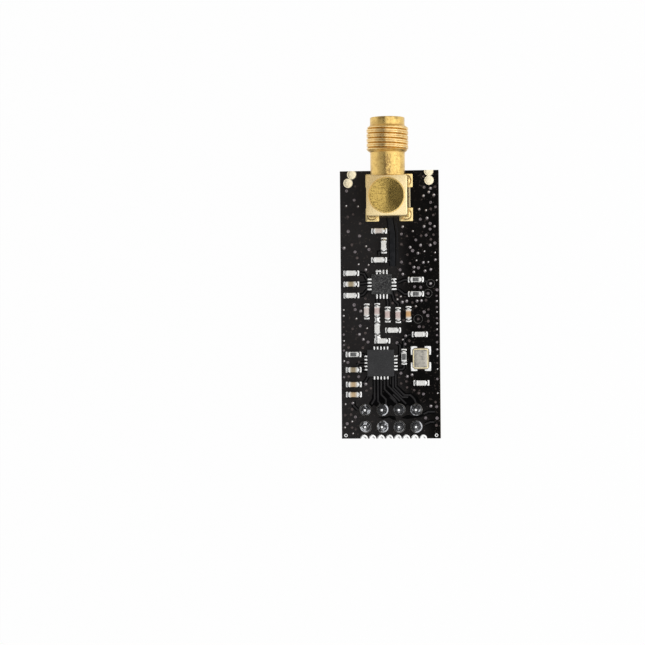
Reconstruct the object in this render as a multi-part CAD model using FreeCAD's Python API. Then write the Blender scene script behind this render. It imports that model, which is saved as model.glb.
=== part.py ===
import FreeCAD, Part
import math
import os

from FreeCAD import Vector

# A small radio board, in millimetres, +Z up. A 2 x 4 pin header under one end plugs it into
# a socket, and a threaded right-angle coaxial jack stands on the other end.
# The origin is the centre of the pin field, on the face of the header housing that the long
# pins leave. +Y points to the jack's mouth, the board lies above and the pins point down.

# Board
board_length = 40.2
board_width = 14.8
board_thickness = 1.6
copper = 0.04

# Solder, and how finely the small rounds that repeat are drawn
solder_step = 0.05
solder_hollow = 0.07
fillet_climb = 0.7
ring_side_count = 12
hole_side_count = 12

# Pin header
pin_pitch = 2.54
pin_columns = 4
pin_rows = 2
pin_size = 0.64
pin_point_size = 0.32
pin_point_length = 0.55
pin_reach = 6.0
pin_rise = 1.4
housing_height = 2.54
housing_notch = 0.5
pin_hole_clearance = 0.06
pin_ring_width = 0.42
pin_joint_height = 1.0
pin_joint_neck = 0.1

# Half-round pads on the header edge, and one small plated hole in each corner there
edge_pad_count = 8
edge_pad_pitch = 1.27
edge_pad_offset = 0.37
edge_hole_radius = 0.22
edge_pad_ring = 0.37
plating = 0.05
corner_hole_radius = 0.2
corner_hole_ring = 0.15
corner_hole_side_inset = 0.6
corner_hole_end_inset = 0.48
header_end_margin = 3.05

# Chip resistors, capacitors and inductors, all of one footprint
part_length = 1.6
part_width = 0.8
ceramic_height = 0.8
resistor_height = 0.5
end_cap_length = 0.36
end_cap_skin = 0.03
end_cap_chamfer = 0.06
pad_overhang = 0.4
pad_side_margin = 0.03
pad_under = 0.4

# Leadless chips
transceiver_size = 4.0
transceiver_side_lead_count = 5
transceiver_toe = 0.5
front_end_size = 3.0
front_end_side_lead_count = 4
front_end_toe = 0.7
chip_height = 0.85
chip_edge_chamfer = 0.05
lead_pitch = 0.5
lead_width = 0.26
lead_length = 0.4
lead_thickness = 0.2
heat_pad_inset = 0.7

# Crystal
crystal_width = 2.5
crystal_length = 3.2
crystal_base_height = 0.5
crystal_notch_radius = 0.25
seal_inset = 0.12
seal_width = 0.3
seal_height = 0.08
seal_corner = 0.18
lid_thickness = 0.14
lid_flange = 0.14
lid_step = 0.06
lid_corner = 0.1
crystal_pad_width = 1.0
crystal_pad_length = 1.35
crystal_pad_side_overhang = 0.28
crystal_pad_end_overhang = 0.28

# Coaxial jack
leg_pitch = 5.08
leg_size = 0.92
leg_reach = 2.1
leg_hole_clearance = 0.1
jack_pad_size = 2.0
jack_ring_width = 0.3
jack_joint_height = 0.9
jack_meniscus_height = 0.22
block_corner_radius = 0.3
block_edge_chamfer = 0.12
barrel_board_gap = 0.53
collar_radius = 2.57
collar_length = 3.48
thread_radius = 3.1
thread_length = 4.05
thread_chamfer = 0.35
nose_radius = 2.57
nose_length = 1.15
nose_chamfer = 0.1
mouth_radius = 2.3
mouth_depth = 1.9
mouth_chamfer = 0.1
insulator_radius = 2.05
insulator_neck_radius = 1.5
insulator_shoulder_depth = 1.2
spigot_wall = 0.65
spigot_length = 0.8
spigot_to_cap = 0.1
cap_radius = 2.62
cap_thickness = 0.8
cap_dish = 0.26
cap_rim = 0.07
cap_chamfer = 0.08
cavity_radius = 2.0
floor_thickness = 1.2
tail_insulator_radius = 1.5
tail_radius = 0.5
tail_hole_clearance = 0.15
tail_top_margin = 0.2
contact_radius = 0.635
contact_bore_radius = 0.46
contact_bore_depth = 2.6
contact_slot_width = 0.16
contact_slot_depth = 2.0
contact_mouth_chamfer = 0.1
contact_rear_length = 1.0

# Gold test discs on the jack edge: distance from the nearer side and from that edge
disc_radius = 0.71
disc_side_count = 24
left_disc_side_inset = 1.22
left_disc_end_inset = 1.81
left_edge_disc_side_inset = 1.78
left_edge_disc_end_inset = 0.52
right_disc_side_inset = 1.39
right_disc_end_inset = 1.52
right_edge_disc_side_inset = 1.43
right_edge_disc_end_inset = 0.17
jack_end_margin = 4.07

# Gaps between neighbours along the board, from the header towards the jack. They are as
# drawn, and share out whatever room the board's length leaves.
header_to_supply_gap = 0.94
supply_gap_low = 0.66
supply_gap_high = 1.34
supply_to_transceiver = 1.0
transceiver_to_match_gap = 0.37
match_to_balun_gap = 0.22
balun_to_row_gap = 0.25
row_to_front_end_gap = 0.6
front_end_to_filter_gap = 1.02
filter_low_gap = 0.52
filter_high_gap = 0.57
filter_to_jack_gap = 1.0

# Gaps between neighbours across the board, through the transceiver, shared out likewise
left_margin = 0.65
left_to_transceiver_gap = 0.42
transceiver_to_resistor_gap = 0.55
resistor_to_crystal_gap = 0.55
right_margin = 1.31

# Other places, each measured from a neighbour's centre
bias_resistor_rise = 1.3
crystal_rise = 0.62
crystal_resistor_rise = 0.9
low_capacitor_drop = 3.03
low_capacitor_shift = 0.05
high_capacitor_rise = 4.25
high_capacitor_shift = -0.13
match_shift = 0.23
balun_shift = -0.5
second_balun_shift = 1.85
second_balun_drop = 0.25
row_pitch = 1.57
row_first_shift = -2.07
row_drops = (0.05, 0.0, 0.55, 0.65, 0.5)
front_end_shift = 0.23
upper_column_inset = 1.6
upper_column_rises = (-1.65, 0.05, 1.7)
control_resistor_shift = 5.1
control_resistor_rises = (-1.5, 0.65)
filter_low_shift = -0.4
filter_middle_shift = 0.35
filter_high_shift = -0.35

# Levels
board_bottom = housing_height + copper
board_top = board_bottom + board_thickness
seat = board_top + copper

# Footprints
pad_width = part_width + 2 * pad_side_margin
pad_span = part_length + 2 * pad_overhang
transceiver_reach = transceiver_size / 2 + transceiver_toe
front_end_reach = front_end_size / 2 + front_end_toe
pin_hole_radius = pin_size * math.sqrt(0.5) + pin_hole_clearance
pin_ring_radius = pin_hole_radius + pin_ring_width
pin_field_half_x = (pin_columns - 1) * pin_pitch / 2
pin_field_half_y = (pin_rows - 1) * pin_pitch / 2

# Centres along the board
header_end = -pin_field_half_y - (header_end_margin - pin_pitch / 2)
jack_end = header_end + board_length
jack_y = jack_end - jack_end_margin
jack_pad_reach = (leg_pitch + jack_pad_size) / 2
header_joint_end = pin_field_half_y + pin_ring_radius
footprints_along = (5.5 * pad_width + 3 * pad_span + supply_to_transceiver
                    + transceiver_reach + 2 * front_end_reach)
gaps_along = (header_to_supply_gap + supply_gap_low + supply_gap_high + transceiver_to_match_gap
              + match_to_balun_gap + balun_to_row_gap + row_to_front_end_gap
              + front_end_to_filter_gap + filter_low_gap + filter_high_gap + filter_to_jack_gap)
share_along = (jack_y - jack_pad_reach - header_joint_end - footprints_along) / gaps_along
supply_y_1 = header_joint_end + header_to_supply_gap * share_along + pad_width / 2
supply_y_2 = supply_y_1 + pad_width + supply_gap_low * share_along
supply_y_3 = supply_y_2 + pad_width + supply_gap_high * share_along
transceiver_y = supply_y_3 + supply_to_transceiver
match_y = transceiver_y + transceiver_reach + transceiver_to_match_gap * share_along + pad_width / 2
balun_y = match_y + pad_width / 2 + match_to_balun_gap * share_along + pad_span / 2
row_y = balun_y + pad_span + balun_to_row_gap * share_along
front_end_y = row_y + pad_span / 2 + row_to_front_end_gap * share_along + front_end_reach
filter_low_y = (front_end_y + front_end_reach + front_end_to_filter_gap * share_along
                + pad_width / 2)
filter_middle_y = filter_low_y + pad_width / 2 + filter_low_gap * share_along + pad_span / 2
filter_high_y = filter_middle_y + pad_span / 2 + filter_high_gap * share_along + pad_width / 2

# Centres across the board
left_side = -board_width / 2
right_side = board_width / 2
crystal_half_reach = crystal_width / 2 + crystal_pad_side_overhang
footprints_across = pad_span + 2 * transceiver_reach + pad_width + 2 * crystal_half_reach
gaps_across = (left_margin + left_to_transceiver_gap + transceiver_to_resistor_gap
               + resistor_to_crystal_gap + right_margin)
share_across = (board_width - footprints_across) / gaps_across
supply_x = left_side + left_margin * share_across + pad_span / 2
transceiver_x = (supply_x + pad_span / 2 + left_to_transceiver_gap * share_across
                 + transceiver_reach)
crystal_resistor_x = (transceiver_x + transceiver_reach
                      + transceiver_to_resistor_gap * share_across + pad_width / 2)
crystal_x = (crystal_resistor_x + pad_width / 2 + resistor_to_crystal_gap * share_across
             + crystal_half_reach)
crystal_y = transceiver_y + crystal_rise
front_end_x = transceiver_x + front_end_shift

# Jack, from the board upwards and from the block towards the mouth
spigot_radius = insulator_neck_radius + spigot_wall
block_size = leg_pitch + leg_size
axis_height = collar_radius + barrel_board_gap
block_height = axis_height + spigot_radius + spigot_to_cap + cap_thickness
block_top = seat + block_height
axis_z = seat + axis_height
leg_end = board_bottom - leg_reach
leg_hole_radius = leg_size * math.sqrt(0.5) + leg_hole_clearance
tail_hole_radius = tail_radius + tail_hole_clearance
barrel_length = collar_length + thread_length + nose_length
block_face_y = jack_y + block_size / 2
mouth_y = block_face_y + barrel_length
reference_y = mouth_y - mouth_depth

up = Vector(0, 0, 1)
along = Vector(0, 1, 0)


def block(size_x, size_y, size_z, x, y, z):
    """A box centred on x and y, standing on z."""
    corner = Vector(x - size_x / 2, y - size_y / 2, z)
    return Part.makeBox(size_x, size_y, size_z, corner)


def post(radius, height, x, y, z):
    return Part.makeCylinder(radius, height, Vector(x, y, z))


def washer(outer, inner, height, x, y, z):
    return post(outer, height, x, y, z).cut(post(inner, height, x, y, z))


def ring_of(radius, side_count, x, y, z):
    """Corners of a regular polygon with a flat towards each axis."""
    points = []
    for number in range(side_count):
        angle = 2 * math.pi * (number + 0.5) / side_count
        points.append(Vector(x + radius * math.cos(angle), y + radius * math.sin(angle), z))
    return points


def stacked(rings):
    """A solid with flat faces, through a stack of rings with matching corners."""
    faces = [Part.Face(Part.makePolygon(ring + ring[:1])) for ring in (rings[0], rings[-1])]
    for low, high in zip(rings, rings[1:]):
        for number, corner in enumerate(low):
            following = (number + 1) % len(low)
            corners = [corner, low[following], high[following], high[number]]
            faces.append(Part.Face(Part.makePolygon(corners + corners[:1])))
    solid = Part.makeSolid(Part.makeShell(faces))
    if solid.Volume < 0:
        solid.reverse()
    return solid


def peg(radius, height, x, y, z, side_count=hole_side_count):
    """A small round drawn with flats, for holes and pads that repeat."""
    return stacked([ring_of(radius, side_count, x, y, z),
                    ring_of(radius, side_count, x, y, z + height)])


def pad_ring(outer, inner, x, y, z):
    return peg(outer, copper, x, y, z, ring_side_count).cut(peg(inner, copper, x, y, z))


def fused(shapes):
    """One clean shape from several that touch or overlap."""
    return shapes[0].multiFuse(shapes[1:]).removeSplitter()


def revolved(profile, axis_direction):
    """Turns a closed outline of points and three-point arcs about an axis through the origin."""
    edges = []
    for start, item in zip(profile, profile[1:] + profile[:1]):
        start_point = start[-1] if isinstance(start, tuple) else start
        if isinstance(item, tuple):
            edges.append(Part.Arc(start_point, item[0], item[1]).toShape())
        else:
            edges.append(Part.LineSegment(start_point, item).toShape())
    face = Part.Face(Part.Wire(edges))
    return face.revolve(Vector(0, 0, 0), axis_direction, 360)


def square_of(size, x, y, z):
    """Corners of a square centred on x and y."""
    half = size / 2
    signs = ((-1, -1), (1, -1), (1, 1), (-1, 1))
    return [Vector(x + half * sign_x, y + half * sign_y, z) for sign_x, sign_y in signs]


def header_places():
    for row in range(pin_rows):
        for column in range(pin_columns):
            x = column * pin_pitch - pin_field_half_x
            y = row * pin_pitch - pin_field_half_y
            yield x, y


def leg_places():
    for side_y in (-1, 1):
        for side_x in (-1, 1):
            yield side_x * leg_pitch / 2, jack_y + side_y * leg_pitch / 2


def edge_pad_places():
    start = edge_pad_offset - (edge_pad_count - 1) * edge_pad_pitch / 2
    return [start + number * edge_pad_pitch for number in range(edge_pad_count)]


def corner_hole_places():
    y = header_end + corner_hole_end_inset
    return ((left_side + corner_hole_side_inset, y), (right_side - corner_hole_side_inset, y))


def chip_parts():
    """Each small two-ended part: name, height, centre, and whether it lies along the board."""
    parts = [
        ("supply_capacitor_1", ceramic_height, supply_x, supply_y_1, False),
        ("supply_capacitor_2", ceramic_height, supply_x, supply_y_2, False),
        ("supply_capacitor_3", ceramic_height, supply_x, supply_y_3, False),
        ("bias_resistor", resistor_height, supply_x, transceiver_y + bias_resistor_rise, False),
        ("crystal_resistor", resistor_height, crystal_resistor_x,
         transceiver_y + crystal_resistor_rise, True),
        ("crystal_capacitor_1", ceramic_height, crystal_x + low_capacitor_shift,
         transceiver_y - low_capacitor_drop, False),
        ("crystal_capacitor_2", ceramic_height, crystal_x + high_capacitor_shift,
         transceiver_y + high_capacitor_rise, False),
        ("match_inductor", ceramic_height, transceiver_x + match_shift, match_y, False),
        ("balun_inductor_1", ceramic_height, transceiver_x + balun_shift, balun_y, True),
        ("balun_inductor_2", ceramic_height, transceiver_x + second_balun_shift,
         balun_y - second_balun_drop, False),
        ("filter_capacitor_1", ceramic_height, front_end_x + filter_low_shift, filter_low_y, False),
        ("filter_inductor", ceramic_height, front_end_x + filter_middle_shift,
         filter_middle_y, True),
        ("filter_capacitor_2", ceramic_height, front_end_x + filter_high_shift,
         filter_high_y, False),
    ]
    for number, drop in enumerate(row_drops):
        x = transceiver_x + row_first_shift + number * row_pitch
        parts.append((f"row_capacitor_{number + 1}", ceramic_height, x, row_y - drop, True))
    for number, rise in enumerate(upper_column_rises):
        x = left_side + upper_column_inset
        parts.append((f"amplifier_capacitor_{number + 1}", ceramic_height, x,
                      front_end_y + rise, False))
    for number, rise in enumerate(control_resistor_rises):
        x = front_end_x + control_resistor_shift
        parts.append((f"control_resistor_{number + 1}", resistor_height, x,
                      front_end_y + rise, False))
    return parts


def lead_places(size, side_leads):
    """Middle of each lead on the package's edge, with its outward direction."""
    first = -(side_leads - 1) * lead_pitch / 2
    for turn in range(4):
        angle = turn * 90
        direction = FreeCAD.Rotation(up, angle).multVec(Vector(1, 0, 0))
        sideways = FreeCAD.Rotation(up, angle).multVec(Vector(0, 1, 0))
        for number in range(side_leads):
            middle = direction * (size / 2) + sideways * (first + number * lead_pitch)
            yield middle, angle


def set_on(shape, x, y, z, angle=0):
    """A shape made at the origin, turned about Z and moved to its place."""
    placed = shape.copy()
    move = FreeCAD.Placement(Vector(x, y, z), FreeCAD.Rotation(up, angle))
    placed.Placement = move.multiply(shape.Placement)
    return placed


def make_board():
    """The laminate, with every drilled and routed hole."""
    outline = Part.makeBox(right_side - left_side, jack_end - header_end, board_thickness,
                           Vector(left_side, header_end, board_bottom))
    drill = [(pin_hole_radius, x, y) for x, y in header_places()]
    drill += [(leg_hole_radius, x, y) for x, y in leg_places()]
    drill.append((tail_hole_radius, 0, jack_y))
    drill += [(edge_hole_radius, x, header_end) for x in edge_pad_places()]
    drill += [(corner_hole_radius, x, y) for x, y in corner_hole_places()]
    holes = [peg(radius, board_thickness, x, y, board_bottom) for radius, x, y in drill]
    return outline.cut(Part.makeCompound(holes))


def plated_tube(radius, ring, x, y):
    """Copper wall of a hole with a ring on both faces of the board."""
    height = board_thickness + 2 * copper
    low_ring = peg(radius + ring, copper, x, y, board_bottom - copper)
    high_ring = peg(radius + ring, copper, x, y, board_top)
    wall = peg(radius, height, x, y, board_bottom - copper)
    bore = peg(radius - plating, height, x, y, board_bottom - copper)
    return fused([low_ring, wall, high_ring]).cut(bore)


def make_edge_pads():
    """Half-round plated pads along the header edge, and the plated holes in its corners."""
    height = board_thickness + 2 * copper
    reach = edge_hole_radius + edge_pad_ring
    pads = []
    for x in edge_pad_places():
        beyond = block(2 * reach, reach, height, x, header_end - reach / 2, board_bottom - copper)
        pads.append(plated_tube(edge_hole_radius, edge_pad_ring, x, header_end).cut(beyond))
    for x, y in corner_hole_places():
        pads.append(plated_tube(corner_hole_radius, corner_hole_ring, x, y))
    return Part.makeCompound(pads)


def make_header_pads():
    """Rings round the header holes, on both faces of the board."""
    rings = []
    for x, y in header_places():
        for z in (board_bottom - copper, board_top):
            rings.append(pad_ring(pin_ring_radius, pin_hole_radius, x, y, z))
    return Part.makeCompound(rings)


def make_jack_pads():
    """Gold squares under the jack's corners, rings on the far face, and the test discs."""
    pads = []
    for x, y in leg_places():
        square = block(jack_pad_size, jack_pad_size, copper, x, y, board_top)
        pads.append(square.cut(peg(leg_hole_radius, copper, x, y, board_top)))
        pads.append(pad_ring(leg_hole_radius + jack_ring_width, leg_hole_radius,
                             x, y, board_bottom - copper))
    for z in (board_bottom - copper, board_top):
        pads.append(pad_ring(tail_hole_radius + jack_ring_width, tail_hole_radius, 0, jack_y, z))
    board_area = Part.makeBox(right_side - left_side, jack_end - header_end, copper,
                              Vector(left_side, header_end, board_top))
    discs = [(left_side + left_disc_side_inset, left_disc_end_inset),
             (left_side + left_edge_disc_side_inset, left_edge_disc_end_inset),
             (right_side - right_disc_side_inset, right_disc_end_inset),
             (right_side - right_edge_disc_side_inset, right_edge_disc_end_inset)]
    rounds = [peg(disc_radius, copper, x, jack_end - inset, board_top, disc_side_count)
              for x, inset in discs]
    for pair in (rounds[:2], rounds[2:]):
        pads.append(fused(pair).common(board_area))
    return Part.makeCompound(pads)


def make_component_pads():
    """Tinned pads of every surface-mounted part, with the heat pads under the two chips."""
    pads = []
    pad_length = pad_overhang + pad_under
    pad_middle = part_length / 2 + pad_overhang - pad_length / 2
    for name, height, x, y, lies_along in chip_parts():
        for side in (-1, 1):
            pad = block(pad_length, pad_width, copper, side * pad_middle, 0, 0)
            pads.append(set_on(rotated(pad, lies_along), x, y, board_top))
    chips = ((transceiver_size, transceiver_side_lead_count, transceiver_toe, transceiver_x, transceiver_y),
             (front_end_size, front_end_side_lead_count, front_end_toe, front_end_x, front_end_y))
    for size, side_leads, toe, x, y in chips:
        for middle, angle in lead_places(size, side_leads):
            pad = block(lead_length + toe, lead_width, copper, (toe - lead_length) / 2, 0, 0)
            pads.append(set_on(pad, x + middle.x, y + middle.y, board_top, angle))
        heat_size = size - 2 * heat_pad_inset
        pads.append(block(heat_size, heat_size, copper, x, y, board_top))
    for side_x, side_y in ((-1, -1), (1, -1), (1, 1), (-1, 1)):
        x = crystal_half_reach - crystal_pad_width / 2
        y = crystal_length / 2 + crystal_pad_end_overhang - crystal_pad_length / 2
        pads.append(block(crystal_pad_width, crystal_pad_length, copper,
                          crystal_x + side_x * x, crystal_y + side_y * y, board_top))
    return Part.makeCompound(pads)


def rotated(shape, lies_along):
    """The shape as it is, or turned a quarter turn to lie along the board."""
    if not lies_along:
        return shape
    turned = shape.copy()
    turned.rotate(Vector(0, 0, 0), up, 90)
    return turned


def make_housing():
    """The moulded strip that holds the pins, notched between its columns."""
    half_x = pin_field_half_x + pin_pitch / 2
    half_y = pin_field_half_y + pin_pitch / 2
    front = []
    for column in range(pin_columns):
        left = -half_x + column * pin_pitch
        front.append(Vector(left, -half_y + housing_notch, 0))
        front.append(Vector(left + housing_notch, -half_y, 0))
        front.append(Vector(left + pin_pitch - housing_notch, -half_y, 0))
    front.append(Vector(half_x, -half_y + housing_notch, 0))
    back = [Vector(-point.x, -point.y, 0) for point in front]
    outline = Part.makePolygon(front + back + front[:1])
    strip = Part.Face(outline).extrude(Vector(0, 0, housing_height))
    holes = [block(pin_size, pin_size, housing_height, x, y, 0) for x, y in header_places()]
    return strip.cut(Part.makeCompound(holes))


def make_pin(x, y):
    """A square pin with a four-sided point at each end."""
    tip = board_top + pin_rise
    return stacked([square_of(pin_point_size, x, y, -pin_reach),
                    square_of(pin_size, x, y, pin_point_length - pin_reach),
                    square_of(pin_size, x, y, tip - pin_point_length),
                    square_of(pin_point_size, x, y, tip)])


def hollow_middle(start, end, corner):
    """The lowest point of a side that sags from the line start-end towards a corner."""
    chord = end - start
    inwards = corner - start
    across = inwards - chord * (inwards.dot(chord) / chord.dot(chord))
    return start + chord * 0.5 + across.normalize() * (chord.Length * solder_hollow)


def solder_cone(foot_radius, neck_radius, height):
    """A hollow-sided cone of solder that stands on z = 0, or hangs from it."""
    foot = Vector(foot_radius, 0, 0)
    neck = Vector(neck_radius, 0, height)
    waist = hollow_middle(foot, neck, Vector(neck_radius, 0, 0))
    return stacked([ring_of(level.x, ring_side_count, 0, 0, level.z)
                    for level in (foot, waist, neck)])


def make_header_solder():
    """Solder that fills each plated header hole and rises round its pin."""
    foot = pin_ring_radius - solder_step
    neck = pin_size * math.sqrt(0.5) + pin_joint_neck
    joints = []
    for x, y in header_places():
        cone = set_on(solder_cone(foot, neck, pin_joint_height), x, y, seat)
        fill = peg(pin_hole_radius, seat - board_bottom + copper, x, y, board_bottom - copper)
        pin_space = block(pin_size, pin_size, board_thickness + pin_joint_height * 2,
                          x, y, board_bottom - copper)
        joints.append(fused([cone, fill]).cut(pin_space))
    return Part.makeCompound(joints)


def make_chip_leads(size, side_leads, x, y):
    """The leads along a leadless package's edges, and the heat pad in its underside."""
    leads = []
    for middle, angle in lead_places(size, side_leads):
        lead = block(lead_length, lead_width, lead_thickness, -lead_length / 2, 0, 0)
        leads.append(set_on(lead, x + middle.x, y + middle.y, seat, angle))
    heat_size = size - 2 * heat_pad_inset
    leads.append(block(heat_size, heat_size, lead_thickness, x, y, seat))
    return Part.makeCompound(leads)


def make_chip_body(size, x, y, leads):
    """The moulded package, with its leads let into the underside."""
    body = block(size, size, chip_height, x, y, seat)
    top_edges = [edge for edge in body.Edges if edge.BoundBox.ZMin > seat + chip_height / 2]
    return body.makeChamfer(chip_edge_chamfer, top_edges).cut(leads)


def toe_fillet(width, reach, height):
    """A hollow fillet of solder, against the plane x = 0 and out along +X."""
    start = Vector(0, -width / 2, height)
    toe = Vector(reach, -width / 2, 0)
    back = Vector(0, -width / 2, 0)
    outline = [start, hollow_middle(start, toe, back), toe, back, start]
    return Part.Face(Part.makePolygon(outline)).extrude(Vector(0, width, 0))


def toe_wedge(width, reach, height):
    """A plain wedge of solder, for the fine leads."""
    corners = [Vector(0, -width / 2, 0), Vector(reach, -width / 2, 0),
               Vector(0, -width / 2, height), Vector(0, -width / 2, 0)]
    return Part.Face(Part.makePolygon(corners)).extrude(Vector(0, width, 0))


def make_component_solder():
    """A fillet at each end of every small part, and a wedge before every chip lead."""
    joints = []
    fillet_width = part_width
    fillet_reach = pad_overhang - solder_step
    for name, height, x, y, lies_along in chip_parts():
        turn = 90 if lies_along else 0
        fillet = toe_fillet(fillet_width, fillet_reach, height * fillet_climb)
        fillet.translate(Vector(part_length / 2, 0, 0))
        joints.append(set_on(fillet, x, y, seat, turn))
        joints.append(set_on(fillet, x, y, seat, turn + 180))
    chips = ((transceiver_size, transceiver_side_lead_count, transceiver_toe, transceiver_x, transceiver_y),
             (front_end_size, front_end_side_lead_count, front_end_toe, front_end_x, front_end_y))
    for size, side_leads, toe, x, y in chips:
        wedge = toe_wedge(lead_width, toe - solder_step, lead_thickness)
        for middle, angle in lead_places(size, side_leads):
            joints.append(set_on(wedge, x + middle.x, y + middle.y, seat, angle))
    return Part.makeCompound(joints)


def make_chip_part(height):
    """A ceramic body between two metal end caps that stand slightly proud of it."""
    skin = end_cap_skin
    core = block(part_length - 2 * skin, part_width - 2 * skin, height - 2 * skin, 0, 0, skin)
    pieces = [core]
    for side in (-1, 1):
        middle = side * (part_length - end_cap_length) / 2
        end_cap = block(end_cap_length, part_width, height, middle, 0, 0)
        end_x = side * part_length / 2
        end_edges = [edge for edge in end_cap.Edges
                     if abs(edge.BoundBox.XMin - end_x) < 1e-6 and abs(edge.BoundBox.XMax - end_x) < 1e-6]
        pieces.append(end_cap.makeChamfer(end_cap_chamfer, end_edges))
    return fused(pieces)


def make_crystal_base():
    """The ceramic tray, with a round notch down each corner."""
    tray = block(crystal_width, crystal_length, crystal_base_height, crystal_x, crystal_y, seat)
    notches = [post(crystal_notch_radius, crystal_base_height, crystal_x + side_x * crystal_width / 2,
                    crystal_y + side_y * crystal_length / 2, seat)
               for side_x, side_y in ((-1, -1), (1, -1), (1, 1), (-1, 1))]
    return tray.cut(Part.makeCompound(notches))


def clipped_plate(width, length, height, corner, z):
    """A plate over the crystal's centre, with its corners cut off."""
    plate = block(width, length, height, crystal_x, crystal_y, z)
    return plate.makeChamfer(corner, upright_edges(plate))


def upright_edges(shape):
    return [edge for edge in shape.Edges
            if edge.BoundBox.ZLength > 1e-6 and edge.BoundBox.XLength + edge.BoundBox.YLength < 1e-6]


def make_crystal_seal():
    """The plated frame that the lid is welded to."""
    z = seat + crystal_base_height
    width = crystal_width - 2 * seal_inset
    length = crystal_length - 2 * seal_inset
    outer = clipped_plate(width, length, seal_height, seal_corner, z)
    inner = clipped_plate(width - 2 * seal_width, length - 2 * seal_width, seal_height,
                          lid_corner, z)
    return outer.cut(inner)


def make_crystal_lid():
    """The pressed lid: a thin flange on the frame and a raised panel."""
    z = seat + crystal_base_height + seal_height
    width = crystal_width - 2 * seal_inset - 2 * lid_flange
    length = crystal_length - 2 * seal_inset - 2 * lid_flange
    flange = clipped_plate(width, length, lid_thickness - lid_step, lid_corner, z)
    panel = clipped_plate(width - 2 * lid_flange, length - 2 * lid_flange, lid_thickness,
                          lid_corner, z)
    return fused([flange, panel])


def make_jack_block():
    """The milled body: a cube on four legs, bored for the cap, the barrel and the insulator."""
    body = block(block_size, block_size, block_top - leg_end, 0, jack_y, leg_end)
    body = body.makeFillet(block_corner_radius, upright_edges(body))
    top_edges = [edge for edge in body.Edges if edge.BoundBox.ZMin > block_top - 1e-6]
    body = body.makeChamfer(block_edge_chamfer, top_edges)
    gap = leg_pitch - leg_size
    slots = [block(gap, 2 * block_size, seat - leg_end, 0, jack_y, leg_end),
             block(2 * block_size, gap, seat - leg_end, 0, jack_y, leg_end)]
    cap_seat = post(cap_radius, cap_thickness, 0, jack_y, block_top - cap_thickness)
    cavity = post(cavity_radius, block_height - floor_thickness, 0, jack_y, seat + floor_thickness)
    floor_bore = post(tail_insulator_radius, floor_thickness, 0, jack_y, seat)
    barrel_bore = Part.makeCylinder(spigot_radius, block_size / 2, Vector(0, jack_y, axis_z), along)
    lead_in = Part.makeCone(cap_radius, cap_radius + cap_chamfer, cap_chamfer,
                            Vector(0, jack_y, block_top - cap_chamfer))
    return body.cut(slots + [cap_seat, cavity, floor_bore, barrel_bore, lead_in])


def make_jack_cap():
    """The pressed-in cover, turned with a shallow dish inside a narrow rim."""
    base = block_top - cap_thickness
    rim = cap_radius - cap_chamfer
    profile = [Vector(0, 0, 0), Vector(cap_radius, 0, 0),
               Vector(cap_radius, 0, cap_thickness - cap_chamfer),
               Vector(rim, 0, cap_thickness), Vector(rim - cap_rim, 0, cap_thickness),
               Vector(0, 0, cap_thickness - cap_dish)]
    return set_on(revolved(profile, up), 0, jack_y, base)


def make_jack_barrel():
    """The turned barrel: spigot, undercut collar, thread land, nose, mouth and stepped bore."""
    thread_start = collar_length
    thread_end = thread_start + thread_length
    shoulder = insulator_shoulder_depth
    outline = [(insulator_neck_radius, -spigot_length), (spigot_radius, -spigot_length),
               (spigot_radius, 0), (collar_radius, 0), (collar_radius, thread_start),
               (thread_radius - thread_chamfer, thread_start),
               (thread_radius, thread_start + thread_chamfer),
               (thread_radius, thread_end - thread_chamfer),
               (thread_radius - thread_chamfer, thread_end), (nose_radius, thread_end),
               (nose_radius, barrel_length - nose_chamfer),
               (nose_radius - nose_chamfer, barrel_length),
               (mouth_radius + mouth_chamfer, barrel_length),
               (mouth_radius, barrel_length - mouth_chamfer),
               (mouth_radius, barrel_length - mouth_depth),
               (insulator_radius, barrel_length - mouth_depth),
               (insulator_radius, shoulder), (insulator_neck_radius, shoulder)]
    return on_barrel_axis(outline)


def on_barrel_axis(outline):
    """Turns an outline of radius and distance from the block's face about the barrel's axis."""
    turned = revolved([Vector(radius, distance, 0) for radius, distance in outline], along)
    turned.translate(Vector(0, block_face_y, axis_z))
    return turned


def make_jack_insulator():
    """The stepped plug of white plastic in the barrel, round the centre contact."""
    front = barrel_length - mouth_depth
    outline = [(contact_radius, -spigot_length), (insulator_neck_radius, -spigot_length),
               (insulator_neck_radius, insulator_shoulder_depth),
               (insulator_radius, insulator_shoulder_depth),
               (insulator_radius, front), (contact_radius, front)]
    return on_barrel_axis(outline)


def make_jack_contact(tail):
    """The centre contact: a slotted socket in front, and a cross hole for the tail behind."""
    front = reference_y
    rear = jack_y - contact_rear_length
    rod = Part.makeCylinder(contact_radius, front - rear, Vector(0, rear, axis_z), along)
    socket = Part.makeCylinder(contact_bore_radius, contact_bore_depth,
                               Vector(0, front - contact_bore_depth, axis_z), along)
    lead_in = Part.makeCone(contact_bore_radius, contact_bore_radius + contact_mouth_chamfer,
                            contact_mouth_chamfer,
                            Vector(0, front - contact_mouth_chamfer, axis_z), along)
    wide = 2 * contact_radius
    slot_y = front - contact_slot_depth / 2
    flat_slot = block(wide, contact_slot_depth, contact_slot_width, 0, slot_y,
                      axis_z - contact_slot_width / 2)
    upright_slot = block(contact_slot_width, contact_slot_depth, wide, 0, slot_y,
                         axis_z - contact_radius)
    return rod.cut([socket, lead_in, flat_slot, upright_slot, tail])


def make_tail():
    """The pin that carries the signal down through the board."""
    top = axis_z + contact_radius + tail_top_margin
    return post(tail_radius, top - leg_end, 0, jack_y, leg_end)


def make_tail_insulator():
    return washer(tail_insulator_radius, tail_radius, floor_thickness, 0, jack_y, seat)


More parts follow.
